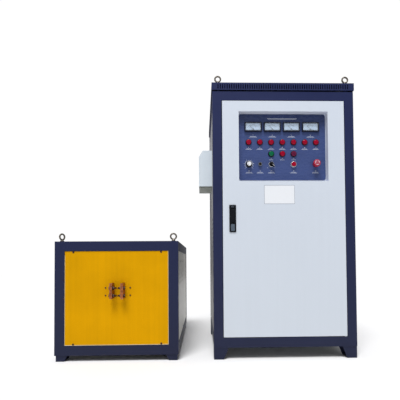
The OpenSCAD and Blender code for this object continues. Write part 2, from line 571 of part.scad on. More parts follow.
// Moving-coil meters
module meter_housings() color(black) for (x = meter_x) {
  difference() {
    union() {
      rplate(x - meter_w / 2, Bf - 10, meter_z - meter_h / 2, x + meter_w / 2, Bf, meter_z + meter_h / 2, 3);
      bx(x - cut_w / 2 + 0.5, Bf - 1, meter_z - cut_h / 2 + 0.5, x + cut_w / 2 - 0.5, Bf + 46, meter_z + cut_h / 2 - 0.5);
    }
    bx(x - 40, Bf - 11, meter_z - 20.5, x + 40, Bf, meter_z + 20.5);
  }
  yc(x, Bf - 4.6, meter_z - 10, 0.8, 5, 24);
}
module meter_lenses() color([0.85, 0.90, 0.95, 0.4]) for (x = meter_x) bx(x - 40, Bf - 9, meter_z - 20.5, x + 40, Bf - 7.4, meter_z + 20.5);
// Needle with a balance weight on its tail; at rest it points to the upper left
module needle(x) color([0.10, 0.10, 0.10]) translate([x, Bf, meter_z - 10]) rotate([0, -45, 0]) difference() {
  union() {
    yc(0, -5.6, 0, 2.4, 3.6, 32);
    bx(-0.5, -4.6, -7, 0.5, -3.8, 26);
    yc(0, -5.2, -6.6, 1.9, 2.2, 24);
  }
  yc(0, -4.9, 0, 0.85, 6, 24);
}
module meter_needle_1() needle(meter_x[0]);
module meter_needle_2() needle(meter_x[1]);
module meter_needle_3() needle(meter_x[2]);
module meter_needle_4() needle(meter_x[3]);

// Signal lamps: a domed lens on a collar
module lens(x, z, h = 7) {
  rr = (lamp_r - 1) * (lamp_r - 1) / (2 * h) + h / 2;
  yc(x, Bf - 4, z, lamp_r, 4);
  intersection() {
    translate([x, Bf - 4 - h + rr, z]) sphere(r = rr, $fn = 64);
    yc(x, Bf - 20, z, lamp_r - 1, 16);
  }
}
module red_lamps() color([0.80, 0.02, 0.14]) { for (x = red_x) lens(x, row1_z); lens(dcx, row2_z); }
module green_lamp() color([0.02, 0.45, 0.27]) lens(dcx - lamp_pitch, row2_z);
module alarm_buzzer() color([0.42, 0.02, 0.12]) difference() {
  union() {
    yc(dcx + lamp_pitch, Bf - 4, row2_z, lamp_r, 4);
    yc(dcx + lamp_pitch, Bf - 9, row2_z, lamp_r - 1.5, 6);
  }
  for (i = [-1:1]) bx(dcx + lamp_pitch - 8 + abs(i) * 2, Bf - 12, row2_z - 0.8 + i * 4.5, dcx + lamp_pitch + 8 - abs(i) * 2, Bf - 6, row2_z + 0.8 + i * 4.5);
}
// Threaded bodies behind the board, with the rings and shafts in front of it
module switch_and_lamp_bodies() color([0.12, 0.12, 0.13]) {
  for (x = red_x) lamp_body(x, row1_z);
  for (i = [-1:1]) lamp_body(dcx + i * lamp_pitch, row2_z);
  // potentiometer
  yc(knob_x, Bf - 6, row3_z, 4.8, 16);
  yhex(knob_x, Bf - 2.6, row3_z, 13, 2.6);
  yc(knob_x, Bf + board_t, row3_z, 12.5, 17);
  yc(knob_x, Bf - 15, row3_z, 3, 20);
  // selector switch
  ring(sel_x, row3_z, lamp_r, 12, 6.5);
  yc(sel_x, Bf - 5, row3_z, 4, 6, 32);
  lamp_body(sel_x, row3_z, 46);
  // push button
  difference() {
    union() { ring(butt_x, row3_z, 16, 12.6, 7); lamp_body(butt_x, row3_z, 46); }
    yc(butt_x, Bf - 10, row3_z, 8.1, 26);
  }
  // emergency stop
  difference() {
    union() { yc(stop_x, Bf - 8, row3_z, 15, 8); lamp_body(stop_x, row3_z, 50); }
    yc(stop_x, Bf - 10, row3_z, 8.1, 36);
  }
}
module lamp_body(x, z, l = 40) { yc(x, Bf - 0, z, 11, l); yc(x, Bf + board_t, z, 15, 5, 32); }
module ring(x, z, ro, ri, h) difference() { yc(x, Bf - h, z, ro, h); yc(x, Bf - h - 1, z, ri, h + 1); }
module footswitch_socket() color([0.70, 0.72, 0.74]) difference() {
  union() {
    yc(sock_x, Bf - 9, row3_z, 10.5, 9);
    yc(sock_x, Bf - 1, row3_z, 8.4, 22);
    yhex(sock_x, Bf + board_t, row3_z, 26, 3);
  }
  yc(sock_x, Bf - 10, row3_z, 7.5, 9);
  for (a = [0:90:270]) translate([sock_x, 0, row3_z]) rotate([0, a + 45, 0]) translate([3.6, Bf - 2, 0]) rotate([-90, 0, 0]) cylinder(r = 0.9, h = 8, $fn = 24);
}
module power_knob() color(black) difference() {
  union() {
    yc(knob_x, Bf - 7, row3_z, 17, 4);
    yc(knob_x, Bf - 18, row3_z, 12.5, 12, 64);
    translate([knob_x, 0, row3_z]) rotate([0, -135, 0]) bx(-0.7, Bf - 18.6, 3, 0.7, Bf - 6, 16);
  }
  yc(knob_x, Bf - 15.5, row3_z, 3.05, 20, 32);
  yc(knob_x, Bf - 6.4, row3_z, 9, 8);
}
// Lever of the two-position switch; it points to the lower right at rest
module selector_lever() color(black) difference() {
  union() {
    yc(sel_x, Bf - 9, row3_z, 11.6, 8);
    translate([sel_x, 0, row3_z]) rotate([0, 135, 0]) hullbar();
  }
  yc(sel_x, Bf - 5.4, row3_z, 4.05, 10, 32);
}
module hullbar() { bx(-4, Bf - 20, -9, 4, Bf - 7.4, 17); yc(0, Bf - 20, 17, 4, 11.4, 24); yc(0, Bf - 20, -9, 4, 11.4, 24); }
module push_button() color([0.80, 0.04, 0.10]) {
  yc(butt_x, Bf - 12, row3_z, 12.3, 7, 64);
  yc(butt_x, Bf - 6, row3_z, 8, 16);
}
module emergency_stem() color([0.45, 0.05, 0.10]) {
  yc(stop_x, Bf - 17, row3_z, 12, 3);
  yc(stop_x, Bf - 17, row3_z, 8, 32);
  yc(stop_x, Bf - 26, row3_z, 5, 10);
}
module emergency_head() color([0.78, 0.08, 0.14]) difference() {
  union() {
    yc(stop_x, Bf - 32, row3_z, 19, 9, 64);
    translate([stop_x, Bf - 32, row3_z]) rotate([90, 0, 0]) cylinder(r1 = 19, r2 = 16.5, h = 5, $fn = 64);
    translate([stop_x, Bf - 23.2, row3_z]) rotate([-90, 0, 0]) cylinder(r1 = 19, r2 = 14, h = 5.9, $fn = 64);
  }
  yc(stop_x, Bf - 27, row3_z, 5.05, 20, 48);
}

// ================= heating station =================
module station_frame() color(navy) difference() {
  union() {
    for (s = [0, 1]) {
      x0 = s == 0 ? sx0 : sx1 - stn_m;
      trough(x0, F, stn_base, x0 + stn_m, F + 40, stn_top, "+y");
      trough(x0, SR - 40, stn_base, x0 + stn_m, SR, stn_top, "-y");
      rx0 = s == 0 ? sx0 : sx1 - 40;
      for (z = [stn_base, saz1]) trough(rx0, F + 39, z, rx0 + 40, SR - 39, z + stn_m, s == 0 ? "+x" : "-x");
      lx = s == 0 ? sx0 + 14 : sx1 - 16;
      yzring(F + 39, saz0 - 1, SR - 39, saz1 + 1, 16, lx, lx + 2);
    }
    for (z = [stn_base, saz1]) {
      trough(sx0 + stn_m - sheet_t, F, z, sx1 - stn_m + sheet_t, F + 40, z + stn_m, "+y");
      trough(sx0 + stn_m - sheet_t, SR - 40, z, sx1 - stn_m + sheet_t, SR, z + stn_m, "-y");
    }
    xzring(sax0 - 1, saz0 - 1, sax1 + 1, saz1 + 1, 15, F + 3 + panel_t, F + 5.5 + panel_t);
    xzring(sax0 - 1, saz0 - 1, sax1 + 1, saz1 + 1, 17, SR - 16, SR - 14);
    // shelf lips under the lid
    bx(sx0 + 2, F + 39, stn_top - 16, sx0 + 60, SR - 39, stn_top - 14);
    bx(sx1 - 60, F + 39, stn_top - 16, sx1 - 2, SR - 39, stn_top - 14);
  }
  // the lid drops in between the rails
  bx(sx0 + 40, F + 40, stn_top - 14, sx1 - 40, SR - 40, stn_top + 1);
  for (p = st_screws) for (s = [0, 1]) xc((s == 0 ? sx0 : sx1 - 20), p[0], p[1], 2.7, 20, 24);
  for (p = st_rear) yc(p[0], SR - 20, p[1], 2.7, 10, 24);
  for (p = st_top) zc(p[0], p[1], stn_top - 20, 2.7, 10, 24);
  for (p = st_front) yc(p[0], F, p[1], 2.7, 20, 24);
  for (e = st_eyes) zc(e[0], e[1], stn_top - 5, 5.2, 10, 32);
  for (z = [saz0 + 239, saz0 + 332]) yc(sax0 - 5, F - 1, z, 1.6, 6, 24);
}
// eye bolts: the front pair on the posts, the rear pair further in on the top rail; x, y, turn
st_eyes = [[sx0 + 26, F + ey, 62], [sx1 - 26, F + ey, 8], [sx0 + 105, SR - ey, 0], [sx1 - 105, SR - ey, 0]];
st_screws = [for (y = [F + 49, SR - 49, (F + SR) / 2], z = [saz0 + 9, saz1 - 9]) [y, z]];
st_rear = [for (x = [sax0 + 9, sax1 - 9], z = [saz0 + 9, saz1 - 9]) [x, z]];
st_top = [for (x = [sx0 + 50, sx1 - 50], y = [F + 60, (F + SR) / 2, SR - 60]) [x, y]];
st_front = [for (x = [sax0 + 44, sax1 - 38], z = [saz0 + 6.5, saz1 - 6]) [x, z]];
st_small = [for (x = [tcx - 65, tcx + 61], z = [tz - 25, tz + 14]) [x, z]];

module station_feet() color(navy) for (s = [0, 1], y = [F + 4, SR - 64])
  foot(s == 0 ? sx0 + 6 : sx1 - 6, y, s == 0 ? 1 : -1, stn_base, 41, 56, 60);

module station_cover_panels() color(warm) {
  for (s = [0, 1]) {
    xa = s == 0 ? sx0 + inset : sx1 - inset - 1.5;
    xb = s == 0 ? sx0 + inset : sx1 - 14;
    difference() {
      union() {
        bx(xa, F + 41, saz0 + 1, xa + 1.5, SR - 41, saz1 - 1);
        yzring(F + 41, saz0 + 1, SR - 41, saz1 - 1, 1.5, xb, xb + 14 - inset);
      }
      for (p = st_screws) xc(xa - 5, p[0], p[1], 2.7, 12, 24);
      for (k = [-1:1]) louvres_x(xa - 3, xa + 5, k * 250, 180, saz0 + 300, 6, 25);
    }
  }
  // rear cover
  difference() {
    union() {
      bx(sax0 + 1, SR - 2.5, saz0 + 1, sax1 - 1, SR - 1, saz1 - 1);
      xzring(sax0 + 1, saz0 + 1, sax1 - 1, saz1 - 1, 1.5, SR - 14, SR - 1);
    }
    for (p = st_rear) yc(p[0], SR - 5, p[1], 2.7, 10, 24);
    for (p = st_nipples) yc(p[0], SR - 5, p[1], nipple_bore_r + 5.6, 10);
    for (p = st_glands) yc(p[0], SR - 5, p[1], gland_bore_r + 5.6, 10);
    for (i = [0:5]) bx(tcx - 100, SR - 5, saz0 + 300 + i * 25, tcx + 100, SR + 1, saz0 + 305 + i * 25);
  }
  // lid
  difference() {
    bx(sx0 + 41, F + 41, stn_top - 14, sx1 - 41, SR - 41, stn_top - 1);
    bx(sx0 + 43, F + 43, stn_top - 15, sx1 - 43, SR - 43, stn_top - 3);
    for (p = st_top) zc(p[0], p[1], stn_top - 10, 2.7, 20, 24);
  }
  // floor plate
  bx(sx0 + 20, F + 43, saz0, sx1 - 20, SR - 43, saz0 + 2.5);
}
st_nipples = [for (i = [0:3]) [sax0 + 70 + i * 50, saz0 + 80]];
st_glands = [for (i = [0, 1]) [sax1 - 130 + i * 60, saz0 + 80]];

module station_front_panel() color([0.85, 0.63, 0.02]) difference() {
  bx(sax0 + 1, F + 3, saz0 + 1, sax1 - 1, F + 3 + panel_t, saz1 - 1);
  for (x = tx) bx(x - 0.3, F, tz - term_h / 2 - 0.3, x + term_t + 0.3, F + 20, tz + term_h / 2 + 0.3);
  for (p = st_front) yc(p[0], F, p[1], 2.7, 20, 24);
  for (p = st_small) yc(p[0], F, p[1], 2.6, 20, 24);
}
// The two flat conductors run from the front faces back and down to the transformer
module output_terminals() color(copper) for (i = [0, 1]) difference() {
  union() {
    bx(tx[i], F - term_out, tz - term_h / 2, tx[i] + term_t, wd_y0, tz + term_h / 2);
    bx(tx[i], wd_y0 - 30, 180, tx[i] + term_t, wd_y0, tz);
  }
  for (z = [tz - 24, tz + 14]) xc(tx[i] - 1, F - term_out + 20, z, 5.5, term_t + 2);
}
module station_fasteners() color(steel) {
  // terminal bolts: head outside, nut inside, the long ends nearly meet in the middle of the gap
  for (i = [0, 1], z = [tz - 24, tz + 14]) {
    m = i == 0 ? -1 : 1;
    xo = i == 0 ? tx[0] : tx[1] + term_t;
    xi = i == 0 ? tx[0] + term_t : tx[1];
    xhex(m > 0 ? xo : xo - 6.5, F - term_out + 20, z, 16, 6.5);
    xc(min(xo, xi) - (m > 0 ? 17 : 0.5), F - term_out + 20, z, 5, term_t + (m > 0 ? 17.5 : 19.5), 32);
    xhex(m > 0 ? xi - 6.5 : xi, F - term_out + 20, z, 16, 6.5);
  }
  for (p = st_front) screw_y(p[0], F + 3, p[1], -1, 5, 14);
  for (p = st_small) screw_y(p[0], F + 3, p[1], -1, 4, 12);
  for (z = [saz0 + 239, saz0 + 332]) { yc(sax0 - 5, F - 1.6, z, 3, 1.6, 24); yc(sax0 - 5, F - 1, z, 1.5, 6, 24); }
  for (p = st_screws) { screw_x(sx0 + inset, p[0], p[1], -1, 5, 14); screw_x(sx1 - inset, p[0], p[1], 1, 5, 14); }
  for (p = st_rear) screw_y(p[0], SR - 1, p[1], 1, 5, 16);
  for (p = st_top) { zc(p[0], p[1], stn_top - 1, 5, 2.6, 24); zc(p[0], p[1], stn_top - 18, 2.5, 17.5, 24); }
}
module station_eye_bolts() color(steel) for (e = st_eyes) eye_bolt(e[0], e[1], stn_top, e[2], 0, sheet_t + 8);

// Matching transformer
tc_y = -20; wd_y0 = tc_y - 58;
module transformer_core() color([0.16, 0.17, 0.19]) {
  difference() {
    bx(tcx - 120, tc_y, saz0 + 12, tcx + 120, tc_y + 120, saz0 + 272);
    for (s = [-1, 1]) bx(tcx + s * 57 - 27, tc_y - 1, saz0 + 50, tcx + s * 57 + 27, tc_y + 121, saz0 + 232);
  }
  for (s = [-1, 1]) bx(tcx + s * 100 - 16, tc_y + 10, saz0 + 2.5, tcx + s * 100 + 16, tc_y + 110, saz0 + 12);
}
module transformer_windings() color(copper) {
  difference() {
    bx(tcx - 82, wd_y0, saz0 + 56, tcx + 82, tc_y + 178, saz0 + 226);
    bx(tcx - 31, tc_y - 1, saz0 + 50, tcx + 31, tc_y + 121, saz0 + 232);
    for (i = [0:7]) difference() {
      bx(tcx - 100, wd_y0 - 20, saz0 + 74 + i * 19, tcx + 100, tc_y + 200, saz0 + 77 + i * 19);
      bx(tcx - 76, wd_y0 + 6, saz0 + 60, tcx + 76, tc_y + 172, saz0 + 240);
    }
  }
  for (s = [-1, 1]) {
    x = tcx + s * 62;
    bx(x - 14, tc_y + 178, saz0 + 170, x + 14, tc_y + 184, saz0 + 238);
    bx(x - 14, tc_y + 178, saz0 + 232, x + 14, SR - 70, saz0 + 238);
  }
}
module resonant_capacitors() color([0.60, 0.62, 0.64]) for (i = [0:3]) translate([tcx - 200 + i * 100, 210, saz0 + 2.5]) {
  translate([3, 0, 0]) cube([94, 180, 210]);
  for (y = [40, 90, 140]) translate([50, y, 209]) cylinder(r = 9, h = 20.5, $fn = 32);
}
module station_hose_nipples() color([0.72, 0.58, 0.34]) {
  for (p = st_nipples) nipple(p[0], SR - 1, p[1], 24);
  difference() {
    bx(st_nipples[0][0] - 24, SR - 52, saz0 + 66, st_nipples[3][0] + 24, SR - 25, saz0 + 94);
    for (p = st_nipples) yc(p[0], SR - 42, p[1], nipple_bore_r, 40);
  }
}
module station_cable_glands() color(black) for (p = st_glands) gland(p[0], SR - 1, p[1], gland_bore_r);

cabinet_frame();
cabinet_feet();
cabinet_top_cap();
cabinet_eye_bolts();
cabinet_side_panels();
cabinet_rear_panel();
cabinet_screws();
cabinet_mounting_plates();
main_breaker();
breaker_lever();
cold_plate();
power_modules();
dc_capacitors();
smoothing_reactor();
control_board();
cabinet_busbars();
cabinet_hose_nipples();
cabinet_cable_glands();
fan_housing();
fan_rotor();
door_hinge_pins();
side_box_cover();
side_box_base();
door_leaf();
instrument_pan();
instrument_board();
door_hinge_lugs();
door_seal();
lock_housing();
lock_handle();
lock_button();
latch_bolt();
meter_housings();
meter_lenses();
meter_needle_1();
meter_needle_2();
meter_needle_3();
meter_needle_4();
red_lamps();
green_lamp();
alarm_buzzer();
switch_and_lamp_bodies();
footswitch_socket();
power_knob();
selector_lever();
push_button();
emergency_stem();
emergency_head();
station_frame();
station_feet();
station_cover_panels();
station_front_panel();
output_terminals();
station_fasteners();
station_eye_bolts();
transformer_core();
transformer_windings();
resonant_capacitors();
station_hose_nipples();
station_cable_glands();
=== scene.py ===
import bpy, bmesh, math, json
from mathutils import Vector, Matrix


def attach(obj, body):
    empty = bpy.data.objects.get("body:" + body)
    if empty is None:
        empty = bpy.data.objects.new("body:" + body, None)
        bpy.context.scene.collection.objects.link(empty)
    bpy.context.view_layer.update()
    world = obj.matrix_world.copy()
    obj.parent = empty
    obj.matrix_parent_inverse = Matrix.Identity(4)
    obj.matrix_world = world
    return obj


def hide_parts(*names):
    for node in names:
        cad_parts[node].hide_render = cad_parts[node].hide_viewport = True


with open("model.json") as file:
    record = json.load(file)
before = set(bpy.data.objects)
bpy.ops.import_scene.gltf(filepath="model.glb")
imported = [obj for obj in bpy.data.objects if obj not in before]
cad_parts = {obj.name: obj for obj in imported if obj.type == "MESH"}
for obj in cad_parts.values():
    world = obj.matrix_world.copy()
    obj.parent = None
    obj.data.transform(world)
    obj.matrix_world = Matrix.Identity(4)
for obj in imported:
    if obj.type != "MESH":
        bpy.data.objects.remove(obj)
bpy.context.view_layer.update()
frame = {"nodes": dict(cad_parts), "record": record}
NODES = frame["nodes"]
MM = 0.001

# ------------------------------------------------------------------ camera
# Fitted to the corner points of both units: 340 px focal length on a 400 px frame.
cam_data = bpy.data.cameras.new("camera")
cam_data.sensor_width = 36.0
cam_data.lens = 36.0 * 340.0 / 400.0
cam_data.shift_x = (200.0 - 210.48) / 400.0
cam_data.shift_y = (252.52 - 200.0) / 400.0
cam_data.clip_start, cam_data.clip_end = 0.05, 60.0
cam = bpy.data.objects.new("camera", cam_data)
bpy.context.scene.collection.objects.link(cam)
YAW, PITCH, ROLL = 0.0247, 0.0255, -0.0067
fwd = Vector((math.sin(YAW) * math.cos(PITCH), math.cos(YAW) * math.cos(PITCH), math.sin(PITCH)))
right = Vector((math.cos(YAW), -math.sin(YAW), 0))
up = right.cross(fwd)
r2 = math.cos(ROLL) * right + math.sin(ROLL) * up
u2 = -math.sin(ROLL) * right + math.cos(ROLL) * up
cam.matrix_world = Matrix(((r2.x, u2.x, -fwd.x, -0.0264), (r2.y, u2.y, -fwd.y, -2.2158), (r2.z, u2.z, -fwd.z, 0.5059), (0, 0, 0, 1)))
bpy.context.scene.camera = cam
bpy.context.scene.view_settings.view_transform = "Standard"
bpy.context.scene.view_settings.look = "None"


# ------------------------------------------------------------------ materials
def lin(c):
    return tuple((v / 255) / 12.92 if v / 255 <= 0.04045 else ((v / 255 + 0.055) / 1.055) ** 2.4 for v in c) + (1.0,)


def node(t, kind, loc=(0, 0), **kw):
    n = t.nodes.new(kind)
    n.location = loc
    for k, v in kw.items():
        setattr(n, k, v)
    return n


def multiply(t, a, b, loc=(0, 0)):
    mx = node(t, "ShaderNodeMix", loc, data_type="RGBA", blend_type="MULTIPLY")
    mx.inputs["Factor"].default_value = 1
    t.links.new(a, mx.inputs["A"])
    t.links.new(b, mx.inputs["B"])
    return mx.outputs["Result"]


def ranged(t, src, f0, f1, t0, t1, loc=(0, 0)):
    r = node(t, "ShaderNodeMapRange", loc)
    r.inputs["From Min"].default_value = f0
    r.inputs["From Max"].default_value = f1
    r.inputs["To Min"].default_value = t0
    r.inputs["To Max"].default_value = t1
    t.links.new(src, r.inputs["Value"])
    return r.outputs["Result"]


def noise(t, vec, scale, detail=4, loc=(0, 0)):
    n = node(t, "ShaderNodeTexNoise", loc)
    n.inputs["Scale"].default_value = scale
    n.inputs["Detail"].default_value = detail
    t.links.new(vec, n.inputs["Vector"])
    return n.outputs["Fac"]


def material(name, rgb, rough=0.5, metal=0.0, var=0.04, var_scale=4.0, bump=0.02, bump_scale=600.0, bump_dist=0.0004,
             rough_var=0.08, rough_scale=30.0, stretch=(1, 1, 1), painted_shade_by_height=None, edge=None, coat=0.0, coat_rough=0.15,
             specks=0.0, speck_scale=900.0, transmission=0.0, ior=None, emit=None, emit_strength=0.0, streaks=0.0,
             alpha=None, spec=0.5, wave=None, dust=0.0, scratch=0.0, aniso=0.0):
    m = bpy.data.materials.new(name)
    m.use_nodes = True
    t = m.node_tree
    b = t.nodes["Principled BSDF"]
    tc = node(t, "ShaderNodeTexCoord", (-1400, 0))
    obj = tc.outputs["Object"]
    mp = node(t, "ShaderNodeMapping", (-1200, 0))
    mp.inputs["Scale"].default_value = stretch
    t.links.new(obj, mp.inputs["Vector"])
    vec = mp.outputs["Vector"]
    # large tonal drift
    ramp = node(t, "ShaderNodeValToRGB", (-800, 300))
    c = lin(rgb)
    ramp.color_ramp.elements[0].position = 0.3
    ramp.color_ramp.elements[1].position = 0.7
    ramp.color_ramp.elements[0].color = tuple(max(0, v * (1 - var)) for v in c[:3]) + (1,)
    ramp.color_ramp.elements[1].color = tuple(min(1, v * (1 + var)) for v in c[:3]) + (1,)
    t.links.new(noise(t, vec, var_scale, 5, (-1000, 300)), ramp.inputs["Fac"])
    col = ramp.outputs["Color"]
    if specks:
        col = multiply(t, col, ranged(t, noise(t, obj, speck_scale, 2, (-1000, 600)), 0.35, 0.65, 1 - specks, 1 + specks, (-800, 600)), (-600, 500))
    if streaks:
        # faint darker vertical streaks
        ms = node(t, "ShaderNodeMapping", (-1200, 900))
        ms.inputs["Scale"].default_value = (60, 60, 1.2)
        t.links.new(obj, ms.inputs["Vector"])
        col = multiply(t, col, ranged(t, noise(t, ms.outputs["Vector"], 1.0, 4, (-1000, 900)), 0.35, 0.7, 1.0, 1 - streaks, (-800, 900)), (-500, 700))
    if painted_shade_by_height:
        # painted shade by height: the colour is darkened and tinted towards one height to stand in for how the light
        # falls: (z at the shaded end, z at the unshaded end, shade tint)
        sx = node(t, "ShaderNodeSeparateXYZ", (-1000, -300))
        t.links.new(obj, sx.inputs["Vector"])
        fr = node(t, "ShaderNodeValToRGB", (-600, -300))
        fr.color_ramp.elements[0].color = tuple(painted_shade_by_height[2]) + (1,)
        fr.color_ramp.elements[1].color = (1, 1, 1, 1)
        t.links.new(ranged(t, sx.outputs["Z"], painted_shade_by_height[0], painted_shade_by_height[1], 0.0, 1.0, (-800, -300)), fr.inputs["Fac"])
        col = multiply(t, col, fr.outputs["Color"], (-400, 300))
    if dust:
        # thin dust on surfaces that face up
        ge = node(t, "ShaderNodeNewGeometry", (-1400, -900))
        sn = node(t, "ShaderNodeSeparateXYZ", (-1200, -900))
        t.links.new(ge.outputs["Normal"], sn.inputs["Vector"])
        upf = ranged(t, sn.outputs["Z"], 0.6, 1.0, 0.0, dust, (-1000, -900))
        dn = ranged(t, noise(t, obj, 24, 6, (-1000, -1100)), 0.35, 0.7, 0.25, 1.0, (-800, -1100))
        dm = node(t, "ShaderNodeMath", (-700, -900), operation="MULTIPLY")
        t.links.new(upf, dm.inputs[0])
        t.links.new(dn, dm.inputs[1])
        mx = node(t, "ShaderNodeMix", (-300, 300), data_type="RGBA")
        mx.inputs["B"].default_value = lin((150, 146, 138))
        t.links.new(dm.outputs["Value"], mx.inputs["Factor"])
        t.links.new(col, mx.inputs["A"])
        col = mx.outputs["Result"]
    if edge:
        # lighter colour along edges: a painted highlight where edges catch the light, partly also rubbed wear: (radius,
        # colour, strength)
        bv = node(t, "ShaderNodeBevel", (-1000, -600), samples=4)
        bv.inputs["Radius"].default_value = edge[0]
        ge = node(t, "ShaderNodeNewGeometry", (-1000, -800))
        dp = node(t, "ShaderNodeVectorMath", (-800, -600), operation="DOT_PRODUCT")
        t.links.new(bv.outputs["Normal"], dp.inputs[0])
        t.links.new(ge.outputs["Normal"], dp.inputs[1])
        er = ranged(t, dp.outputs["Value"], 0.999, 0.93, 0.0, edge[2], (-600, -600))
        em = node(t, "ShaderNodeMath", (-450, -600), operation="MULTIPLY")
        t.links.new(er, em.inputs[0])
        t.links.new(ranged(t, noise(t, obj, 45, 6, (-800, -850)), 0.35, 0.65, 0.0, 1.0, (-600, -850)), em.inputs[1])
        mx = node(t, "ShaderNodeMix", (-250, 200), data_type="RGBA")
        mx.inputs["B"].default_value = lin(edge[1])
        t.links.new(em.outputs["Value"], mx.inputs["Factor"])
        t.links.new(col, mx.inputs["A"])
        col = mx.outputs["Result"]
    t.links.new(col, b.inputs["Base Color"])
    rv = ranged(t, noise(t, vec, rough_scale, 4, (-1000, -100)), 0.3, 0.7, max(0.02, rough - rough_var), min(1.0, rough + rough_var), (-600, -100))
    if scratch:
        msx = node(t, "ShaderNodeMapping", (-1200, -300))
        msx.inputs["Scale"].default_value = (9, 9, 400)
        t.links.new(obj, msx.inputs["Vector"])
        ra = node(t, "ShaderNodeMath", (-450, -100), operation="ADD")
        t.links.new(rv, ra.inputs[0])
        t.links.new(ranged(t, noise(t, msx.outputs["Vector"], 1.0, 3, (-1000, -300)), 0.5, 0.75, 0.0, scratch, (-800, -300)), ra.inputs[1])
        rv = ra.outputs["Value"]
    t.links.new(rv, b.inputs["Roughness"])
    b.inputs["Metallic"].default_value = metal
    b.inputs["Specular IOR Level"].default_value = spec
    if aniso:
        b.inputs["Anisotropic"].default_value = aniso
    if bump:
        bp = node(t, "ShaderNodeBump", (-300, -500))
        bp.inputs["Strength"].default_value = bump
        bp.inputs["Distance"].default_value = bump_dist
        t.links.new(noise(t, vec, bump_scale, 3, (-1000, -1300)), bp.inputs["Height"])
        if wave:
            # slow waviness of a glued film or a rolled sheet: (scale, strength)
            b2 = node(t, "ShaderNodeBump", (-500, -700))
            b2.inputs["Strength"].default_value = wave[1]
            b2.inputs["Distance"].default_value = 0.002
            t.links.new(noise(t, obj, wave[0], 2, (-1000, -1500)), b2.inputs["Height"])
            t.links.new(b2.outputs["Normal"], bp.inputs["Normal"])
        t.links.new(bp.outputs["Normal"], b.inputs["Normal"])
    if coat:
        b.inputs["Coat Weight"].default_value = coat
        b.inputs["Coat Roughness"].default_value = coat_rough
    if transmission:
        b.inputs["Transmission Weight"].default_value = transmission
    if ior:
        b.inputs["IOR"].default_value = ior
    if emit:
        b.inputs["Emission Color"].default_value = lin(emit)
        b.inputs["Emission Strength"].default_value = emit_strength
    if alpha is not None:
        b.inputs["Alpha"].default_value = alpha
    return m


M = {}
# frame_paint: painted shade, greyer and darker towards the floor, and a painted highlight along its edges
M["frame_paint"] = material("frame_paint", (31, 39, 78), 0.46, var=0.08, var_scale=3, bump=0.14, bump_scale=900, bump_dist=0.0002, rough_var=0.05, painted_shade_by_height=(0.0, 1.3, (1.0, 0.84, 0.56)), edge=(0.0016, (84, 92, 130), 0.45), specks=0.05, spec=0.17, wave=(6, 0.03))
# door_paint: painted shade, a little darker towards the bottom, and a painted highlight along the door edges
M["door_paint"] = material("door_paint", (204, 212, 224), 0.40, var=0.012, var_scale=2.2, bump=0.10, bump_scale=800, bump_dist=0.0002, rough_var=0.05, streaks=0.012, edge=(0.0024, (240, 245, 250), 0.8), specks=0.012, wave=(3, 0.05), painted_shade_by_height=(0.2, 1.3, (0.89, 0.885, 0.865)), spec=0.3)
M["side_paint"] = material("side_paint", (208, 205, 195), 0.36, var=0.03, var_scale=2.5, bump=0.12, bump_scale=800, bump_dist=0.0002, rough_var=0.06, streaks=0.10, edge=(0.0014, (210, 208, 202), 0.4), specks=0.015, wave=(4, 0.10))
M["pan_paint"] = material("pan_paint", (206, 212, 226), 0.45, var=0.02, bump=0.08, bump_scale=800, bump_dist=0.0002, specks=0.01)
# box_paint: the lighter edge colour is a painted highlight along the box cover's edges
M["box_paint"] = material("box_paint", (212, 222, 231), 0.40, var=0.02, bump=0.1, bump_scale=800, bump_dist=0.0002, edge=(0.0015, (236, 242, 246), 0.5), streaks=0.03, specks=0.01)
M["box_base_paint"] = material("box_base_paint", (136, 142, 134), 0.5, var=0.05, var_scale=20, bump=0.1, bump_scale=700, bump_dist=0.0002, specks=0.03)
# board_blue: painted shadow, darker towards the top of the board where the top edge of the recess shades it
M["board_blue"] = material("board_blue", (60, 75, 122), 0.28, var=0.07, var_scale=9, bump=0.06, bump_scale=500, bump_dist=0.0001, rough_var=0.06, specks=0.03, speck_scale=700, wave=(14, 0.5), spec=0.30, painted_shade_by_height=(1.29, 1.17, (0.55, 0.54, 0.55)), stretch=(1, 1, 2.5))
M["amber_board"] = material("amber_board", (206, 149, 0), 0.60, var=0.05, var_scale=7, bump=0.10, bump_scale=500, bump_dist=0.00025, rough_var=0.06, specks=0.05, speck_scale=420, edge=(0.0012, (232, 184, 60), 0.5), spec=0.04, wave=(5, 0.04), streaks=0.06)
M["copper"] = material("copper", (162, 96, 58), 0.38, metal=0.8, var=0.38, var_scale=40, bump=0.3, bump_scale=160, bump_dist=0.0003, stretch=(1, 0.25, 2.2), rough_var=0.14, edge=(0.0018, (246, 190, 170), 0.9))
M["winding_copper"] = material("winding_copper", (128, 62, 34), 0.38, metal=0.5, var=0.14, var_scale=20, bump=0.2, bump_scale=180, bump_dist=0.0003, coat=0.4)
M["zinc_steel"] = material("zinc_steel", (176, 178, 184), 0.30, metal=0.9, var=0.10, var_scale=60, bump=0.12, bump_scale=500, bump_dist=0.0001, rough_var=0.10, edge=(0.0006, (230, 232, 236), 0.6))
M["bronze_bolt"] = material("bronze_bolt", (54, 30, 24), 0.40, metal=0.5, var=0.3, var_scale=90, bump=0.25, bump_scale=500, bump_dist=0.0001, rough_var=0.12, edge=(0.0007, (156, 100, 78), 0.8))
M["galvanised"] = material("galvanised", (170, 176, 180), 0.42, metal=0.9, var=0.14, var_scale=70, bump=0.1, bump_scale=120, bump_dist=0.0002, rough_var=0.14, rough_scale=60)
M["aluminium"] = material("aluminium", (196, 198, 202), 0.34, metal=0.9, var=0.06, var_scale=20, bump=0.15, bump_scale=220, bump_dist=0.0001, stretch=(0.1, 1, 1.6), rough_var=0.08)
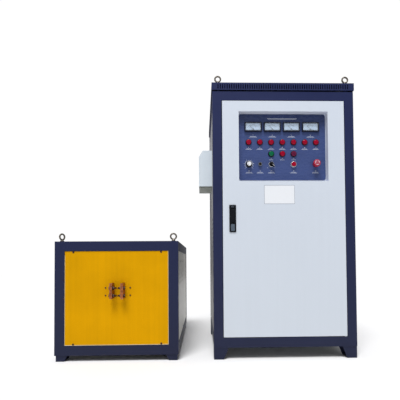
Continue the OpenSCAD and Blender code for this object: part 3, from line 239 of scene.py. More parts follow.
M["spun_silver"] = material("spun_silver", (238, 240, 245), 0.30, metal=0.25, var=0.03, var_scale=90, bump=0.1, bump_scale=900, bump_dist=0.0001, rough_var=0.06)
M["capacitor_can"] = material("capacitor_can", (46, 60, 96), 0.30, var=0.05, bump=0.05, bump_scale=300, coat=0.3)
M["brass"] = material("brass", (190, 150, 82), 0.28, metal=1.0, var=0.12, var_scale=40, bump=0.1, bump_scale=400, bump_dist=0.0001, rough_var=0.1, edge=(0.0008, (228, 198, 140), 0.6))
M["gland_plastic"] = material("gland_plastic", (22, 22, 24), 0.52, var=0.1, bump=0.15, bump_scale=900, bump_dist=0.0001)
M["black_plastic"] = material("black_plastic", (15, 15, 19), 0.42, var=0.12, var_scale=30, bump=0.18, bump_scale=1400, bump_dist=0.0001, rough_var=0.08, spec=0.2)
M["board_green"] = material("board_green", (20, 82, 52), 0.34, var=0.08, var_scale=60, bump=0.12, bump_scale=500, bump_dist=0.0001, coat=0.4)
M["rubber"] = material("rubber", (18, 18, 20), 0.8, var=0.12, bump=0.3, bump_scale=700, bump_dist=0.0002)
M["lock_black"] = material("lock_black", (12, 15, 22), 0.42, var=0.10, var_scale=30, bump=0.12, bump_scale=1200, bump_dist=0.0001, edge=(0.0008, (66, 72, 86), 0.4), spec=0.15)
M["lock_silver"] = material("lock_silver", (92, 104, 118), 0.34, metal=0.4, var=0.08, var_scale=40, bump=0.10, bump_scale=400, bump_dist=0.0001, stretch=(0.2, 1, 3), spec=0.3)
M["meter_glass"] = material("meter_glass", (230, 240, 250), 0.06, var=0.01, bump=0.01, rough_var=0.03, alpha=0.10, ior=1.45)
M["needle_black"] = material("needle_black", (16, 16, 18), 0.4, var=0.08, bump=0.05, bump_scale=900)
M["red_lens"] = material("red_lens", (146, 0, 38), 0.24, var=0.12, var_scale=50, bump=0.12, bump_scale=330, bump_dist=0.0004, rough_var=0.05, coat=0.12, coat_rough=0.08, spec=0.12)
M["green_lens"] = material("green_lens", (0, 96, 62), 0.24, var=0.10, var_scale=50, bump=0.12, bump_scale=330, bump_dist=0.0004, rough_var=0.05, coat=0.12, coat_rough=0.08, spec=0.15)
M["dark_red"] = material("dark_red", (98, 20, 60), 0.34, var=0.08, var_scale=40, bump=0.12, bump_scale=500, bump_dist=0.0002, coat=0.08, spec=0.2)
M["red_plastic"] = material("red_plastic", (168, 6, 42), 0.30, var=0.05, var_scale=30, bump=0.10, bump_scale=700, bump_dist=0.0001, coat=0.12, spec=0.25)
M["chrome"] = material("chrome", (214, 217, 222), 0.16, metal=0.85, var=0.04, var_scale=60, bump=0.04, bump_scale=500, rough_var=0.05)
M["core_iron"] = material("core_iron", (50, 52, 58), 0.5, metal=0.5, var=0.12, var_scale=12, bump=0.35, bump_scale=300, bump_dist=0.0003, stretch=(0.05, 4, 0.05))
M["dial_white"] = material("dial_white", (186, 208, 232), 0.5, var=0.02, bump=0.05, bump_scale=900, bump_dist=0.0001, spec=0.2)
M["print_white"] = material("print_white", (222, 228, 240), 0.5, var=0.02, var_scale=40, bump=0.05, bump_scale=900, bump_dist=0.0001)
M["print_black"] = material("print_black", (22, 24, 34), 0.5, var=0.04, var_scale=40, bump=0.05, bump_scale=900, bump_dist=0.0001)
M["print_grey"] = material("print_grey", (120, 130, 146), 0.5, var=0.04, var_scale=40, bump=0.05, bump_scale=900, bump_dist=0.0001)
M["dark_void"] = material("dark_void", (8, 8, 10), 0.8, var=0.1, bump=0.1, bump_scale=400)
M["card_pale"] = material("card_pale", (224, 227, 232), 0.34, var=0.01, bump=0.03, bump_scale=900, bump_dist=0.0001, metal=0.0, spec=0.25)
M["ceramic_white"] = material("ceramic_white", (224, 222, 214), 0.35, var=0.03, bump=0.05, bump_scale=400)

SLOT = {s["node"]: s["material_slot"] for s in frame["record"]["subparts"]}


def angle_group():
    g = bpy.data.node_groups.new("sharp_by_angle", "GeometryNodeTree")
    g.interface.new_socket("Geometry", in_out="INPUT", socket_type="NodeSocketGeometry")
    g.interface.new_socket("Geometry", in_out="OUTPUT", socket_type="NodeSocketGeometry")
    gi = g.nodes.new("NodeGroupInput")
    go = g.nodes.new("NodeGroupOutput")
    a = g.nodes.new("GeometryNodeSetShadeSmooth")
    a.domain = "FACE"
    b = g.nodes.new("GeometryNodeSetShadeSmooth")
    b.domain = "EDGE"
    e = g.nodes.new("GeometryNodeInputMeshEdgeAngle")
    c = g.nodes.new("FunctionNodeCompare")
    c.data_type = "FLOAT"
    c.operation = "GREATER_THAN"
    c.inputs[1].default_value = math.radians(34)
    b.inputs["Shade Smooth"].default_value = False
    g.links.new(gi.outputs[0], a.inputs["Geometry"])
    g.links.new(a.outputs[0], b.inputs["Geometry"])
    g.links.new(e.outputs["Unsigned Angle"], c.inputs[0])
    g.links.new(c.outputs[0], b.inputs["Selection"])
    g.links.new(b.outputs[0], go.inputs[0])
    return g


SHARP = angle_group()


def finish_normals(o):
    gn = o.modifiers.new("sharp", "NODES")
    gn.node_group = SHARP
    n = o.modifiers.new("normals", "WEIGHTED_NORMAL")
    n.keep_sharp = True
    n.weight = 100
    n.mode = "FACE_AREA"


def dress(name, bevel=0.6, seg=2, angle=38, mat=None):
    """Material, rounded edges and shading for a CAD node that stays."""
    o = NODES[name]
    o.data.materials.clear()
    o.data.materials.append(M[mat or SLOT[name]])
    w = o.modifiers.new("weld", "WELD")
    w.merge_threshold = 0.000005
    d = o.modifiers.new("planar", "DECIMATE")
    d.decimate_type = "DISSOLVE"
    d.angle_limit = math.radians(0.3)
    if bevel:
        b = o.modifiers.new("edges", "BEVEL")
        b.width = bevel * MM
        b.segments = seg
        b.limit_method = "ANGLE"
        b.angle_limit = math.radians(angle)
        b.use_clamp_overlap = False
        b.miter_outer = "MITER_SHARP"
    finish_normals(o)
    return o


BEVEL = {
    "cabinet_frame": 0.9, "cabinet_feet": 1.2, "cabinet_top_cap": 0.7, "cabinet_side_panels": 0.45, "cabinet_rear_panel": 0.4,
    "door_leaf": 0.7, "instrument_pan": 0.45, "instrument_board": 0.5, "station_frame": 0.9, "station_feet": 1.2,
    "station_cover_panels": 0.45, "station_front_panel": 0.8, "output_terminals": 1.2, "side_box_cover": 0.7, "side_box_base": 0.5,
    "meter_housings": 0.8, "meter_lenses": 0.3, "lock_housing": 0.5, "lock_handle": 0.6, "lock_button": 0.5,
    "selector_lever": 0.7, "emergency_stem": 0.4, "footswitch_socket": 0.25,
    "main_breaker": 0.8, "power_modules": 1.0, "cold_plate": 0.8, "resonant_capacitors": 1.5, "transformer_core": 1.0,
    "fan_housing": 0.8, "dc_capacitors": 1.2, "control_board": 0.25, "cabinet_busbars": 0.6, "cabinet_mounting_plates": 0.5,
    "breaker_lever": 0.8, "latch_bolt": 0.6, "door_seal": 0.4, "door_hinge_lugs": 0.5, "transformer_windings": 0.6,
}
REPLACED = {"red_lamps", "green_lamp", "switch_and_lamp_bodies", "power_knob", "push_button", "emergency_head",
            "fan_rotor", "cabinet_screws", "station_fasteners", "smoothing_reactor"}
for n in NODES:
    if n in REPLACED:
        continue
    if n in ("cabinet_eye_bolts", "station_eye_bolts", "cabinet_hose_nipples", "station_hose_nipples", "cabinet_cable_glands", "station_cable_glands", "door_hinge_pins"):
        dress(n, 0.35)
    elif n.startswith("meter_needle"):
        dress(n, 0.0)
    else:
        dress(n, BEVEL.get(n, 0.3))

# ------------------------------------------------------------------ geometry helpers (millimetres in, metres out)
def finish_mesh(name, bm, mats, body, bevel=0.0, seg=2, replaces=None, slot=None, flat=False, weld=False):
    me = bpy.data.meshes.new(name)
    bmesh.ops.recalc_face_normals(bm, faces=bm.faces[:])
    bm.to_mesh(me)
    bm.free()
    o = bpy.data.objects.new(name, me)
    bpy.context.scene.collection.objects.link(o)
    for m in (mats if isinstance(mats, (list, tuple)) else [mats]):
        me.materials.append(M[m])
    if weld:
        w = o.modifiers.new("weld", "WELD")
        w.merge_threshold = 0.000005
    if bevel:
        b = o.modifiers.new("edges", "BEVEL")
        b.width = bevel * MM
        b.segments = seg
        b.limit_method = "ANGLE"
        b.angle_limit = math.radians(38)
        b.use_clamp_overlap = True
    if not flat:
        finish_normals(o)
    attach(o, body)
    if replaces:
        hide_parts(replaces)
    return o


def V(bm, x, y, z):
    return bm.verts.new((x * MM, y * MM, z * MM))


def face(bm, vs, mat=0):
    try:
        f = bm.faces.new(vs)
        f.material_index = mat
        return f
    except ValueError:
        return None


def add_box(bm, x0, y0, z0, x1, y1, z1, mat=0):
    v = [V(bm, x, y, z) for x in (x0, x1) for y in (y0, y1) for z in (z0, z1)]
    for q in ((0, 1, 3, 2), (4, 6, 7, 5), (0, 4, 5, 1), (2, 3, 7, 6), (0, 2, 6, 4), (1, 5, 7, 3)):
        face(bm, [v[i] for i in q], mat)


def along(c, axis, u, w, h):
    if axis == "y":
        return (c[0] + u, c[1] + h, c[2] + w)
    if axis == "x":
        return (c[0] + h, c[1] + u, c[2] + w)
    return (c[0] + u, c[1] + w, c[2] + h)


def add_revolve(bm, prof, c, axis="y", n=48, mat=0, mod=None, turn=0.0, mats=None):
    """Revolves (r, h) points about an axis through c; h runs along +axis; mod(a, r, h) may change the radius."""
    rings = []
    for r, h in prof:
        if r <= 1e-6:
            rings.append([V(bm, *along(c, axis, 0, 0, h))])
            continue
        ring = []
        for i in range(n):
            a = 2 * math.pi * i / n + turn
            rr = mod(a, r, h) if mod else r
            ring.append(V(bm, *along(c, axis, rr * math.cos(a), rr * math.sin(a), h)))
        rings.append(ring)
    for k, (a, b) in enumerate(zip(rings, rings[1:])):
        mi = mats[k] if mats else mat
        for i in range(n):
            j = (i + 1) % n
            if len(a) == 1 and len(b) == 1:
                continue
            vs = [a[0], b[i], b[j]] if len(a) == 1 else [a[i], b[0], a[j]] if len(b) == 1 else [a[i], b[i], b[j], a[j]]
            face(bm, vs, mi)
    return rings


def add_prism(bm, pts, h0, h1, axis="y", mat=0):
    """Convex or simple polygon (u, w) swept from h0 to h1."""
    lo = [V(bm, *along((0, 0, 0), axis, u, w, h0)) for u, w in pts]
    hi = [V(bm, *along((0, 0, 0), axis, u, w, h1)) for u, w in pts]
    face(bm, lo[::-1], mat)
    face(bm, hi, mat)
    for i in range(len(pts)):
        j = (i + 1) % len(pts)
        face(bm, [lo[i], lo[j], hi[j], hi[i]], mat)


def hexpts(u, w, af, turn=0.0):
    r = af / math.sqrt(3)
    return [(u + r * math.cos(math.radians(60 * i) + turn), w + r * math.sin(math.radians(60 * i) + turn)) for i in range(6)]


def add_hex(bm, c, af, h0, h1, axis="y", mat=0, chamfer=True):
    """Hexagon nut or head with a chamfered outer face (at h1)."""
    r = af / math.sqrt(3)
    s = 1 if h1 > h0 else -1

    def mod(a, rr, h):
        k = math.cos(math.pi / 6) / math.cos((a % (math.pi / 3)) - math.pi / 6)
        return rr * k if rr > r * 0.9 else rr
    prof = [(0, h0), (r, h0), (r, h1 - s * 0.8), (r * 0.985, h1 - s * 0.5), (r * 0.86, h1), (0, h1)]
    add_revolve(bm, prof, c, axis, 48, mat, mod)


def add_arc(bm, cx, cz, y, r0, r1, a0, a1, n=48, mat=0, t=0.15):
    """Flat printed arc in the XZ plane, t thick towards -Y; degrees from the top, clockwise."""
    pts = []
    for i in range(n + 1):
        a = math.radians(a0 + (a1 - a0) * i / n)
        s, c = math.sin(a), math.cos(a)
        pts.append([(cx + r * s, cz + r * c) for r in (r0, r1)])
    ring = [[[V(bm, p[0], yy, p[1]) for p in q] for yy in (y, y - t)] for q in pts]
    for a, b in zip(ring, ring[1:]):
        for vs in ([a[1][0], b[1][0], b[1][1], a[1][1]], [a[0][0], a[0][1], b[0][1], b[0][0]], [a[0][0], b[0][0], b[1][0], a[1][0]], [a[0][1], a[1][1], b[1][1], b[0][1]]):
            face(bm, vs, mat)
    for e in (ring[0], ring[-1]):
        face(bm, [e[0][0], e[1][0], e[1][1], e[0][1]], mat)


def add_tick(bm, cx, cz, y, r0, r1, ang, w, mat=0, t=0.15, w1=None):
    a = math.radians(ang)
    s, c = math.sin(a), math.cos(a)
    w1 = w if w1 is None else w1
    q = [(cx + r * s + k * c, cz + r * c - k * s) for r, k in ((r0, -w / 2), (r0, w / 2), (r1, w1 / 2), (r1, -w1 / 2))]
    lo = [V(bm, x, y, z) for x, z in q]
    hi = [V(bm, x, y - t, z) for x, z in q]
    face(bm, lo[::-1], mat)
    face(bm, hi, mat)
    for i in range(4):
        j = (i + 1) % 4
        face(bm, [lo[i], lo[j], hi[j], hi[i]], mat)


def add_text(bm, s, cx, cz, y, size, mat=0, t=0.12):
    """Plain numerals in the XZ plane, read from -Y, centred on (cx, cz)."""
    cu = bpy.data.curves.new("tmp", "FONT")
    cu.body = s
    cu.size = size * MM
    cu.align_x = "CENTER"
    cu.align_y = "CENTER"
    cu.extrude = t * MM / 2
    cu.resolution_u = 3
    ob = bpy.data.objects.new("tmp", cu)
    bpy.context.scene.collection.objects.link(ob)
    bpy.context.view_layer.update()
    dg = bpy.context.evaluated_depsgraph_get()
    me = bpy.data.meshes.new_from_object(ob.evaluated_get(dg))
    me.transform(Matrix.Translation((cx * MM, (y - t / 2) * MM, cz * MM)) @ Matrix.Rotation(math.radians(90), 4, "X"))
    base = len(bm.faces)
    bm.from_mesh(me)
    bm.faces.ensure_lookup_table()
    for f in bm.faces[base:]:
        f.material_index = mat
    bpy.data.objects.remove(ob)
    bpy.data.curves.remove(cu)
    bpy.data.meshes.remove(me)


def pan_head(bm, p, axis, s, r, h, mat=0, n=32):
    """Cross-recessed pan head on face point p; s = +1 or -1 is the way it stands proud along the axis."""
    rr = [0.0, 0.12, 0.24, 0.36, 0.48, 0.60, 0.72, 0.86, 0.95, 1.0]
    rings = []
    for q in rr:
        ring = []
        for i in range(1 if q == 0 else n):
            a = 2 * math.pi * i / n
            u, w = q * math.cos(a), q * math.sin(a)
            top = h * (0.72 + 0.28 * math.cos(q * 1.35)) if q < 0.9 else h * (0.72 if q < 0.97 else 0.42)
            if (abs(u) < 0.14 and abs(w) < 0.52) or (abs(w) < 0.14 and abs(u) < 0.52):
                top -= 0.5 * h
            ring.append(V(bm, *along(p, axis, u * r, w * r, s * top)))
        rings.append(ring)
    rings.append([V(bm, *along(p, axis, r * math.cos(2 * math.pi * i / n), r * math.sin(2 * math.pi * i / n), -s * 0.1)) for i in range(n)])
    for a, b in zip(rings, rings[1:]):
        for i in range(n):
            j = (i + 1) % n
            face(bm, [a[0], b[i], b[j]] if len(a) == 1 else [a[i], b[i], b[j], a[j]], mat)
    face(bm, rings[-1], mat)


def add_torus(bm, c, axis, R0, r0, n=64, m=10, mat=0):
    rings = []
    for i in range(n):
        a = 2 * math.pi * i / n
        ring = []
        for j in range(m):
            b = 2 * math.pi * j / m
            q = R0 + r0 * math.cos(b)
            ring.append(V(bm, *along(c, axis, q * math.cos(a), q * math.sin(a), r0 * math.sin(b))))
        rings.append(ring)
    for i in range(n):
        a, b = rings[i], rings[(i + 1) % n]
        for j in range(m):
            k = (j + 1) % m
            face(bm, [a[j], b[j], b[k], a[k]], mat)


def add_rod(bm, p0, p1, r, m=10, mat=0):
    """Round bar between two points, with closed ends."""
    a, b = Vector(p0), Vector(p1)
    d = (b - a).normalized()
    e = d.orthogonal().normalized()
    f = d.cross(e)
    rings = []
    for k, q in ((0.0, a), (1.0, a), (1.0, b), (0.0, b)):
        if k == 0:
            rings.append([V(bm, *q)])
        else:
            rings.append([V(bm, *(q + r * (math.cos(2 * math.pi * i / m) * e + math.sin(2 * math.pi * i / m) * f))) for i in range(m)])
    for u, w in zip(rings, rings[1:]):
        for i in range(m):
            j = (i + 1) % m
            face(bm, [u[0], w[i], w[j]] if len(u) == 1 else [u[i], w[0], u[j]] if len(w) == 1 else [u[i], w[i], w[j], u[j]], mat)


def louvre(bm, plane, face_at, s, c, w, z0, depth=2.3, rise=9.0, n=14, m=5, mat=0):
    """Pressed hood over a slot (z0 to z0+5); plane 'x' or 'y', s = outward sign, c = centre along the sheet."""
    top, back = [], []
    for j in range(m + 1):
        v = j / m
        z = z0 + 0.6 + v * (5 + rise)
        rt, rb = [], []
        for i in range(n + 1):
            u = i / n
            q = c - w / 2 - 2 + (w + 4) * u
            e = min(1.0, min(u, 1 - u) * (w + 4) / 9.0)
            g = math.sqrt(max(0.0, 1 - (1 - e) ** 2))
            f = math.cos(v * math.pi / 2) ** 0.8 if v < 1 else 0.0
            hgt = depth * f * g
            for lst, hh in ((rt, hgt), (rb, max(hgt - 0.8, -0.3) if hgt > 0.5 else -0.3)):
                p = (face_at + s * hh, q, z) if plane == "x" else (q, face_at + s * hh, z)
                lst.append(V(bm, *p))
        top.append(rt)
        back.append(rb)
    for j in range(m):
        for i in range(n):
            face(bm, [top[j][i], top[j][i + 1], top[j + 1][i + 1], top[j + 1][i]], mat)
            face(bm, [back[j][i], back[j + 1][i], back[j + 1][i + 1], back[j][i + 1]], mat)
    for i in range(n):
        face(bm, [top[0][i], back[0][i], back[0][i + 1], top[0][i + 1]], mat)
        face(bm, [top[m][i], top[m][i + 1], back[m][i + 1], back[m][i]], mat)
    for j in range(m):
        face(bm, [top[j][0], top[j + 1][0], back[j + 1][0], back[j][0]], mat)
        face(bm, [top[j][n], back[j][n], back[j + 1][n], top[j + 1][n]], mat)


def rounded(x0, z0, x1, z1, r, n=6):
    pts = []
    for cx, cz, a0 in ((x1 - r, z1 - r, 0), (x0 + r, z1 - r, 90), (x0 + r, z0 + r, 180), (x1 - r, z0 + r, 270)):
        for i in range(n + 1):
            a = math.radians(a0 + 90 * i / n)
            pts.append((cx + r * math.cos(a), cz + r * math.sin(a)))
    return pts


# ------------------------------------------------------------------ places shared with the CAD (millimetres)
F, R, SR = -460.0, 220.0, 460.0
BF = F + 31.5
DCX = 404.0
METER_X = [DCX - 2 + (i - 1.5) * 102.3 for i in range(4)]
METER_Z, ROW1, ROW2, ROW3 = 1217.5, 1136.0, 1074.0, 1018.0
COL = [DCX + i * 60 for i in range(-3, 4)]
KNOB_X, SOCK_X, SEL_X, BUTT_X, STOP_X = 225.0, 284.0, 344.0, 463.0, 580.0
TAU = 2 * math.pi

M["stop_face"] = material("stop_face", (158, 72, 92), 0.32, var=0.05, var_scale=60, bump=0.08, bump_scale=700, bump_dist=0.0001, coat=0.1, spec=0.3)
# side_grey: painted shade, darker towards the bottom of the side panels, and a painted highlight along edges
M["side_grey"] = material("side_grey", (164, 165, 170), 0.42, var=0.03, var_scale=2.5, bump=0.12, bump_scale=800, bump_dist=0.0002, rough_var=0.06, streaks=0.06, edge=(0.0014, (190, 190, 194), 0.4), specks=0.015, wave=(4, 0.08), painted_shade_by_height=(0.1, 1.2, (0.86, 0.85, 0.82)))
M["bezel_dark"] = material("bezel_dark", (22, 26, 44), 0.40, var=0.10, var_scale=30, bump=0.14, bump_scale=1400, bump_dist=0.0001, rough_var=0.08, spec=0.22)
M["eye_steel"] = material("eye_steel", (112, 106, 98), 0.36, metal=0.75, var=0.22, var_scale=60, bump=0.2, bump_scale=300, bump_dist=0.0002, rough_var=0.12, edge=(0.0008, (180, 176, 168), 0.4))
M["socket_metal"] = material("socket_metal", (118, 124, 138), 0.30, metal=0.7, var=0.08, var_scale=60, bump=0.08, bump_scale=600, bump_dist=0.0001)
M["raw_edge"] = material("raw_edge", (226, 216, 178), 0.6, var=0.12, var_scale=30, bump=0.2, bump_scale=500, bump_dist=0.0002)
for n_, m_ in (("cabinet_side_panels", "side_grey"), ("cabinet_rear_panel", "side_grey"), ("meter_housings", "bezel_dark"), ("cabinet_eye_bolts", "eye_steel"), ("station_eye_bolts", "eye_steel"), ("footswitch_socket", "socket_metal")):
    NODES[n_].data.materials[0] = M[m_]
M["blade_grey"] = material("blade_grey", (44, 46, 52), 0.40, var=0.08, var_scale=30, bump=0.1, bump_scale=900, bump_dist=0.0001)

# ---- meter dials: card, scale arc, ticks, numbers, lower cover
bm = bmesh.new()
for x in METER_X:
    add_box(bm, x - 39.8, BF - 0.6, METER_Z - 20.3, x + 39.8, BF - 0.1, METER_Z + 20.3, 0)
    pz = METER_Z - 10
    add_arc(bm, x, pz, BF - 0.6, 23.2, 23.8, -45, 45, 36, 1)
    for i in range(31):
        a = -45 + 3 * i
        add_tick(bm, x, pz, BF - 0.6, 23.6, 27.0 if i % 6 == 0 else 25.2, a, 0.7 if i % 6 == 0 else 0.35, 1)
    for i in range(6):
        a = math.radians(-45 + 18 * i)
        add_text(bm, str(i * 20), x + 19.4 * math.sin(a), pz + 19.4 * math.cos(a), BF - 0.6, 3.6, 1)
    add_prism(bm, rounded(x - 39.8, METER_Z - 20.3, x + 39.8, METER_Z - 14.5, 0.8, 3), BF - 2.4, BF - 1.2, "y", 2)
    add_revolve(bm, [(0, -3.2), (3.0, -3.2), (3.4, -2.9), (3.4, -1.0), (0, -1.0)], (x, BF, pz - 6.4), "y", 32, 2)
    add_tick(bm, x, pz - 6.4, BF - 3.2, -2.4, 2.4, 90, 0.7, 0, 0.1)
finish_mesh("meter_dials", bm, ["dial_white", "print_black", "black_plastic"], "door", flat=True)

# ---- bezel frames of the meters: raised lip all round with the window set back
bm = bmesh.new()
for x in METER_X:
    for (w, h, d0, d1) in ((45.2, 25.2, -9.9, -10.6),):
        o = rounded(x - w, METER_Z - h, x + w, METER_Z + h, 2.6, 5)
        q = rounded(x - 41.2, METER_Z - 21.4, x + 41.2, METER_Z + 21.0, 1.2, 5)
        a = [V(bm, u, BF + d0, z) for u, z in o]
        b = [V(bm, u * 0.995 + x * 0.005, BF + d1, METER_Z + (z - METER_Z) * 0.985) for u, z in o]
        c = [V(bm, u, BF + d1, z) for u, z in q]
        d = [V(bm, u, BF - 8.8, z) for u, z in q]
        e = [V(bm, u, BF - 9.9, z) for u, z in q]
        n = len(o)
        for i in range(n):
            j = (i + 1) % n
            face(bm, [a[i], a[j], b[j], b[i]])
            face(bm, [b[i], b[j], c[j], c[i]])
            face(bm, [c[i], c[j], e[j], e[i]])
            face(bm, [e[i], e[j], a[j], a[i]])
        for v in d:
            bm.verts.remove(v)
finish_mesh("meter_bezels", bm, ["bezel_dark"], "door", flat=True)

# ---- printed index marks and numbers on the instrument board
bm = bmesh.new()
y = BF - 0.02
for i, x in enumerate(METER_X):
    add_text(bm, str(i + 1), x, 1175.5, y, 9)
    add_box(bm, x - 15, y - 0.12, 1167.3, x + 15, y, 1168.5)
    add_box(bm, x - 21, y - 0.12, 1163.6, x + 21, y, 1164.6)
for i, x in enumerate(COL):
    add_text(bm, str(i + 5), x, 1108.5, y, 7.5)
    add_box(bm, x - 12, y - 0.12, 1101.4, x + 12, y, 1102.6)
    add_box(bm, x - 17, y - 0.12, 1097.8, x + 17, y, 1098.8)
for i, x in enumerate(COL[2:5]):
    add_text(bm, str(i + 12), x, 1048.8, y, 7.5)
    add_box(bm, x - 12, y - 0.12, 1042.0, x + 12, y, 1043.1)
for i, x in enumerate((KNOB_X, SOCK_X, SEL_X, BUTT_X, STOP_X)):
    add_text(bm, str(i + 15), x, 983, y, 7.5)
    add_box(bm, x - 14, y - 0.12, 975.4, x + 14, y, 976.5)
    add_box(bm, x - 19, y - 0.12, 971.6, x + 19, y, 972.6)
for i in range(31):
    a = -135 + 9 * i
    add_tick(bm, KNOB_X, ROW3, y, 19.0, 23.4 if i % 3 == 0 else 21.6, a, 1.5 if i % 3 == 0 else 0.8, w1=1.9 if i % 3 == 0 else 0.8)
for i in range(6):
    a = math.radians(-135 + 54 * i)
    add_text(bm, str(i * 2), KNOB_X + 27.0 * math.sin(a), ROW3 + 27.0 * math.cos(a), y, 4.6)
add_text(bm, "1", SEL_X + 20, ROW3 - 18, y, 7)
add_text(bm, "0", SEL_X - 20, ROW3 - 18, y, 7)
add_tick(bm, SEL_X, ROW3, y, 17.2, 20.5, 135, 1.2)
add_tick(bm, SEL_X, ROW3, y, 17.2, 20.5, -135, 1.2)
add_box(bm, DCX - 80, y - 0.12, 1263.4, DCX + 80, y, 1264.8)
add_box(bm, DCX - 74, y - 0.12, 1259.8, DCX + 74, y, 1260.6)
finish_mesh("board_legends", bm, "print_white", "door", flat=True)

# ---- blank card on the door
bm = bmesh.new()
add_prism(bm, rounded(299, 802, 459, 900, 2.0, 4), F + 0.02, F - 0.35, "y", 1)
add_prism(bm, rounded(300.6, 803.6, 457.4, 898.4, 1.4, 4), F - 0.3, F - 0.5, "y", 0)
finish_mesh("door_card", bm, ["card_pale", "print_grey"], "door", flat=True)

# ---- indicator lamps: collar, fluted lens with stepped rings
def lamp(bm, x, z):
    add_revolve(bm, [(0, 0.1), (16.3, 0.1), (16.5, -0.6), (16.5, -3.0), (16.0, -4.2), (15.0, -4.8), (14.0, -4.4), (13.7, -3.2), (0, -3.2)], (x, BF, z), "y", 56, 0)

    def fl(a, r, h):
        return r * (1 + (0.014 * math.cos(28 * a) if 5 < r else 0.0))
    prof = [(0, -2.0), (13.3, -2.0), (13.4, -4.0), (13.4, -6.8), (13.0, -8.2), (12.2, -9.4), (11.4, -9.8)]
    for k, rr in enumerate((10.6, 8.7, 6.8, 4.9, 3.0)):
        prof += [(rr, -10.2 - 0.36 * k), (rr - 0.35, -10.5 - 0.36 * k)]
    prof += [(0, -12.2)]
    add_revolve(bm, prof, (x, BF, z), "y", 84, 1, fl)


bm = bmesh.new()
for x in COL:
    lamp(bm, x, ROW1)
lamp(bm, DCX, ROW2)
finish_mesh("red_lamp_heads", bm, ["black_plastic", "red_lens"], "door", replaces="red_lamps")
bm = bmesh.new()
lamp(bm, COL[2], ROW2)
finish_mesh("green_lamp_head", bm, ["black_plastic", "green_lens"], "door", replaces="green_lamp")
bm = bmesh.new()
add_revolve(bm, [(13.05, 0.05), (16.3, 0.05), (16.5, -0.6), (16.5, -3.0), (16.0, -4.2), (15.0, -4.8), (13.5, -4.6), (13.05, -4.1), (13.05, 0.05)], (COL[4], BF, ROW2), "y", 64, 0)
finish_mesh("buzzer_collar", bm, "black_plastic", "door")

# ---- power knob
def knurl(n, d):
    return lambda a, r, h: r * (1 - (d / r) * (0.5 - 0.5 * math.cos(n * a)) ** 2) if r > 10 else r


bm = bmesh.new()
c = (KNOB_X, BF, ROW3)
add_revolve(bm, [(3.05, -3.0), (16.6, -3.0), (17.0, -3.5), (17.0, -5.6), (16.4, -6.6), (13.6, -7.4)], c, "y", 144, 0, knurl(36, 0.7))
add_revolve(bm, [(13.6, -7.4), (12.7, -8.2), (12.5, -15.6), (12.1, -16.4), (11.5, -16.5), (11.5, -15.6), (3.05, -15.6)], c, "y", 192, 0, knurl(32, 0.9))
add_revolve(bm, [(0, -15.4), (11.3, -15.4), (11.4, -16.8), (11.2, -17.6), (10.8, -18.0), (10.0, -17.95), (9.8, -17.6), (9.5, -17.6), (9.3, -17.9), (6.6, -17.95), (6.4, -17.7), (6.1, -17.7), (5.9, -17.95), (0, -18.05)], c, "y", 72, 1)
add_tick(bm, KNOB_X, ROW3, BF - 17.9, 4.2, 10.6, -135, 1.5, 2, 0.5)
add_tick(bm, KNOB_X, ROW3, BF - 6.5, 13.9, 16.4, -135, 1.4, 3, 0.5)
finish_mesh("knob_with_cap", bm, ["black_plastic", "spun_silver", "print_black", "print_white"], "knob", replaces="power_knob")

# ---- push button: rim and domed red lens
bm = bmesh.new()
c = (BUTT_X, BF, ROW3)
add_revolve(bm, [(0, 10), (7.7, 10), (8.0, 9.6), (8.0, -5.0), (11.6, -5.0)], c, "y", 72, 0)
add_revolve(bm, [(11.6, -5.0), (12.1, -5.0), (12.3, -5.4), (12.3, -10.2), (12.0, -11.1), (11.3, -11.7), (10.2, -11.9), (9.6, -11.6), (9.2, -11.6), (6.0, -12.0), (0, -12.2)], c, "y", 72, 1)
finish_mesh("button_head", bm, ["black_plastic", "red_lens"], "button", replaces="push_button")

# ---- emergency stop head with turn arrows
bm = bmesh.new()
c = (STOP_X, BF, ROW3)
prof = [(5.05, -25.9), (5.05, -17.3), (13.6, -17.3), (14.2, -17.6), (16.0, -19.6), (18.4, -22.4), (18.9, -23.4), (19.0, -25.0), (19.0, -29.8), (18.7, -31.6), (18.0, -33.2), (16.9, -34.6), (15.2, -35.6)]
add_revolve(bm, prof, c, "y", 96, 0, lambda a, r, h: r * (1 - (0.012 * (0.5 - 0.5 * math.cos(24 * a)) if -32 < h < -24 and r > 18.5 else 0)))
add_revolve(bm, [(15.2, -35.6), (13.0, -36.3), (9.0, -36.75), (4.0, -36.95), (0, -37.0)], c, "y", 96, 1)
add_revolve(bm, [(5.05, -25.9), (0, -25.9)], c, "y", 96, 0)
for k in range(3):
    a0 = 120 * k + 20
    add_arc(bm, STOP_X, ROW3, BF - 36.35, 9.6, 11.4, a0, a0 + 56, 20, 2, 0.32)
    p = []
    for da, rr in ((54, 8.0), (54, 13.0), (76, 10.5)):
        q = math.radians(a0 + da)
        p.append((STOP_X + rr * math.sin(q), ROW3 + rr * math.cos(q)))
    add_prism(bm, p, BF - 36.2, BF - 36.68, "y", 2)
finish_mesh("stop_mushroom", bm, ["red_plastic", "stop_face", "print_white"], "stop_head", replaces="emergency_head")

# ---- switch barrels, nuts, rings and contact blocks
bm = bmesh.new()


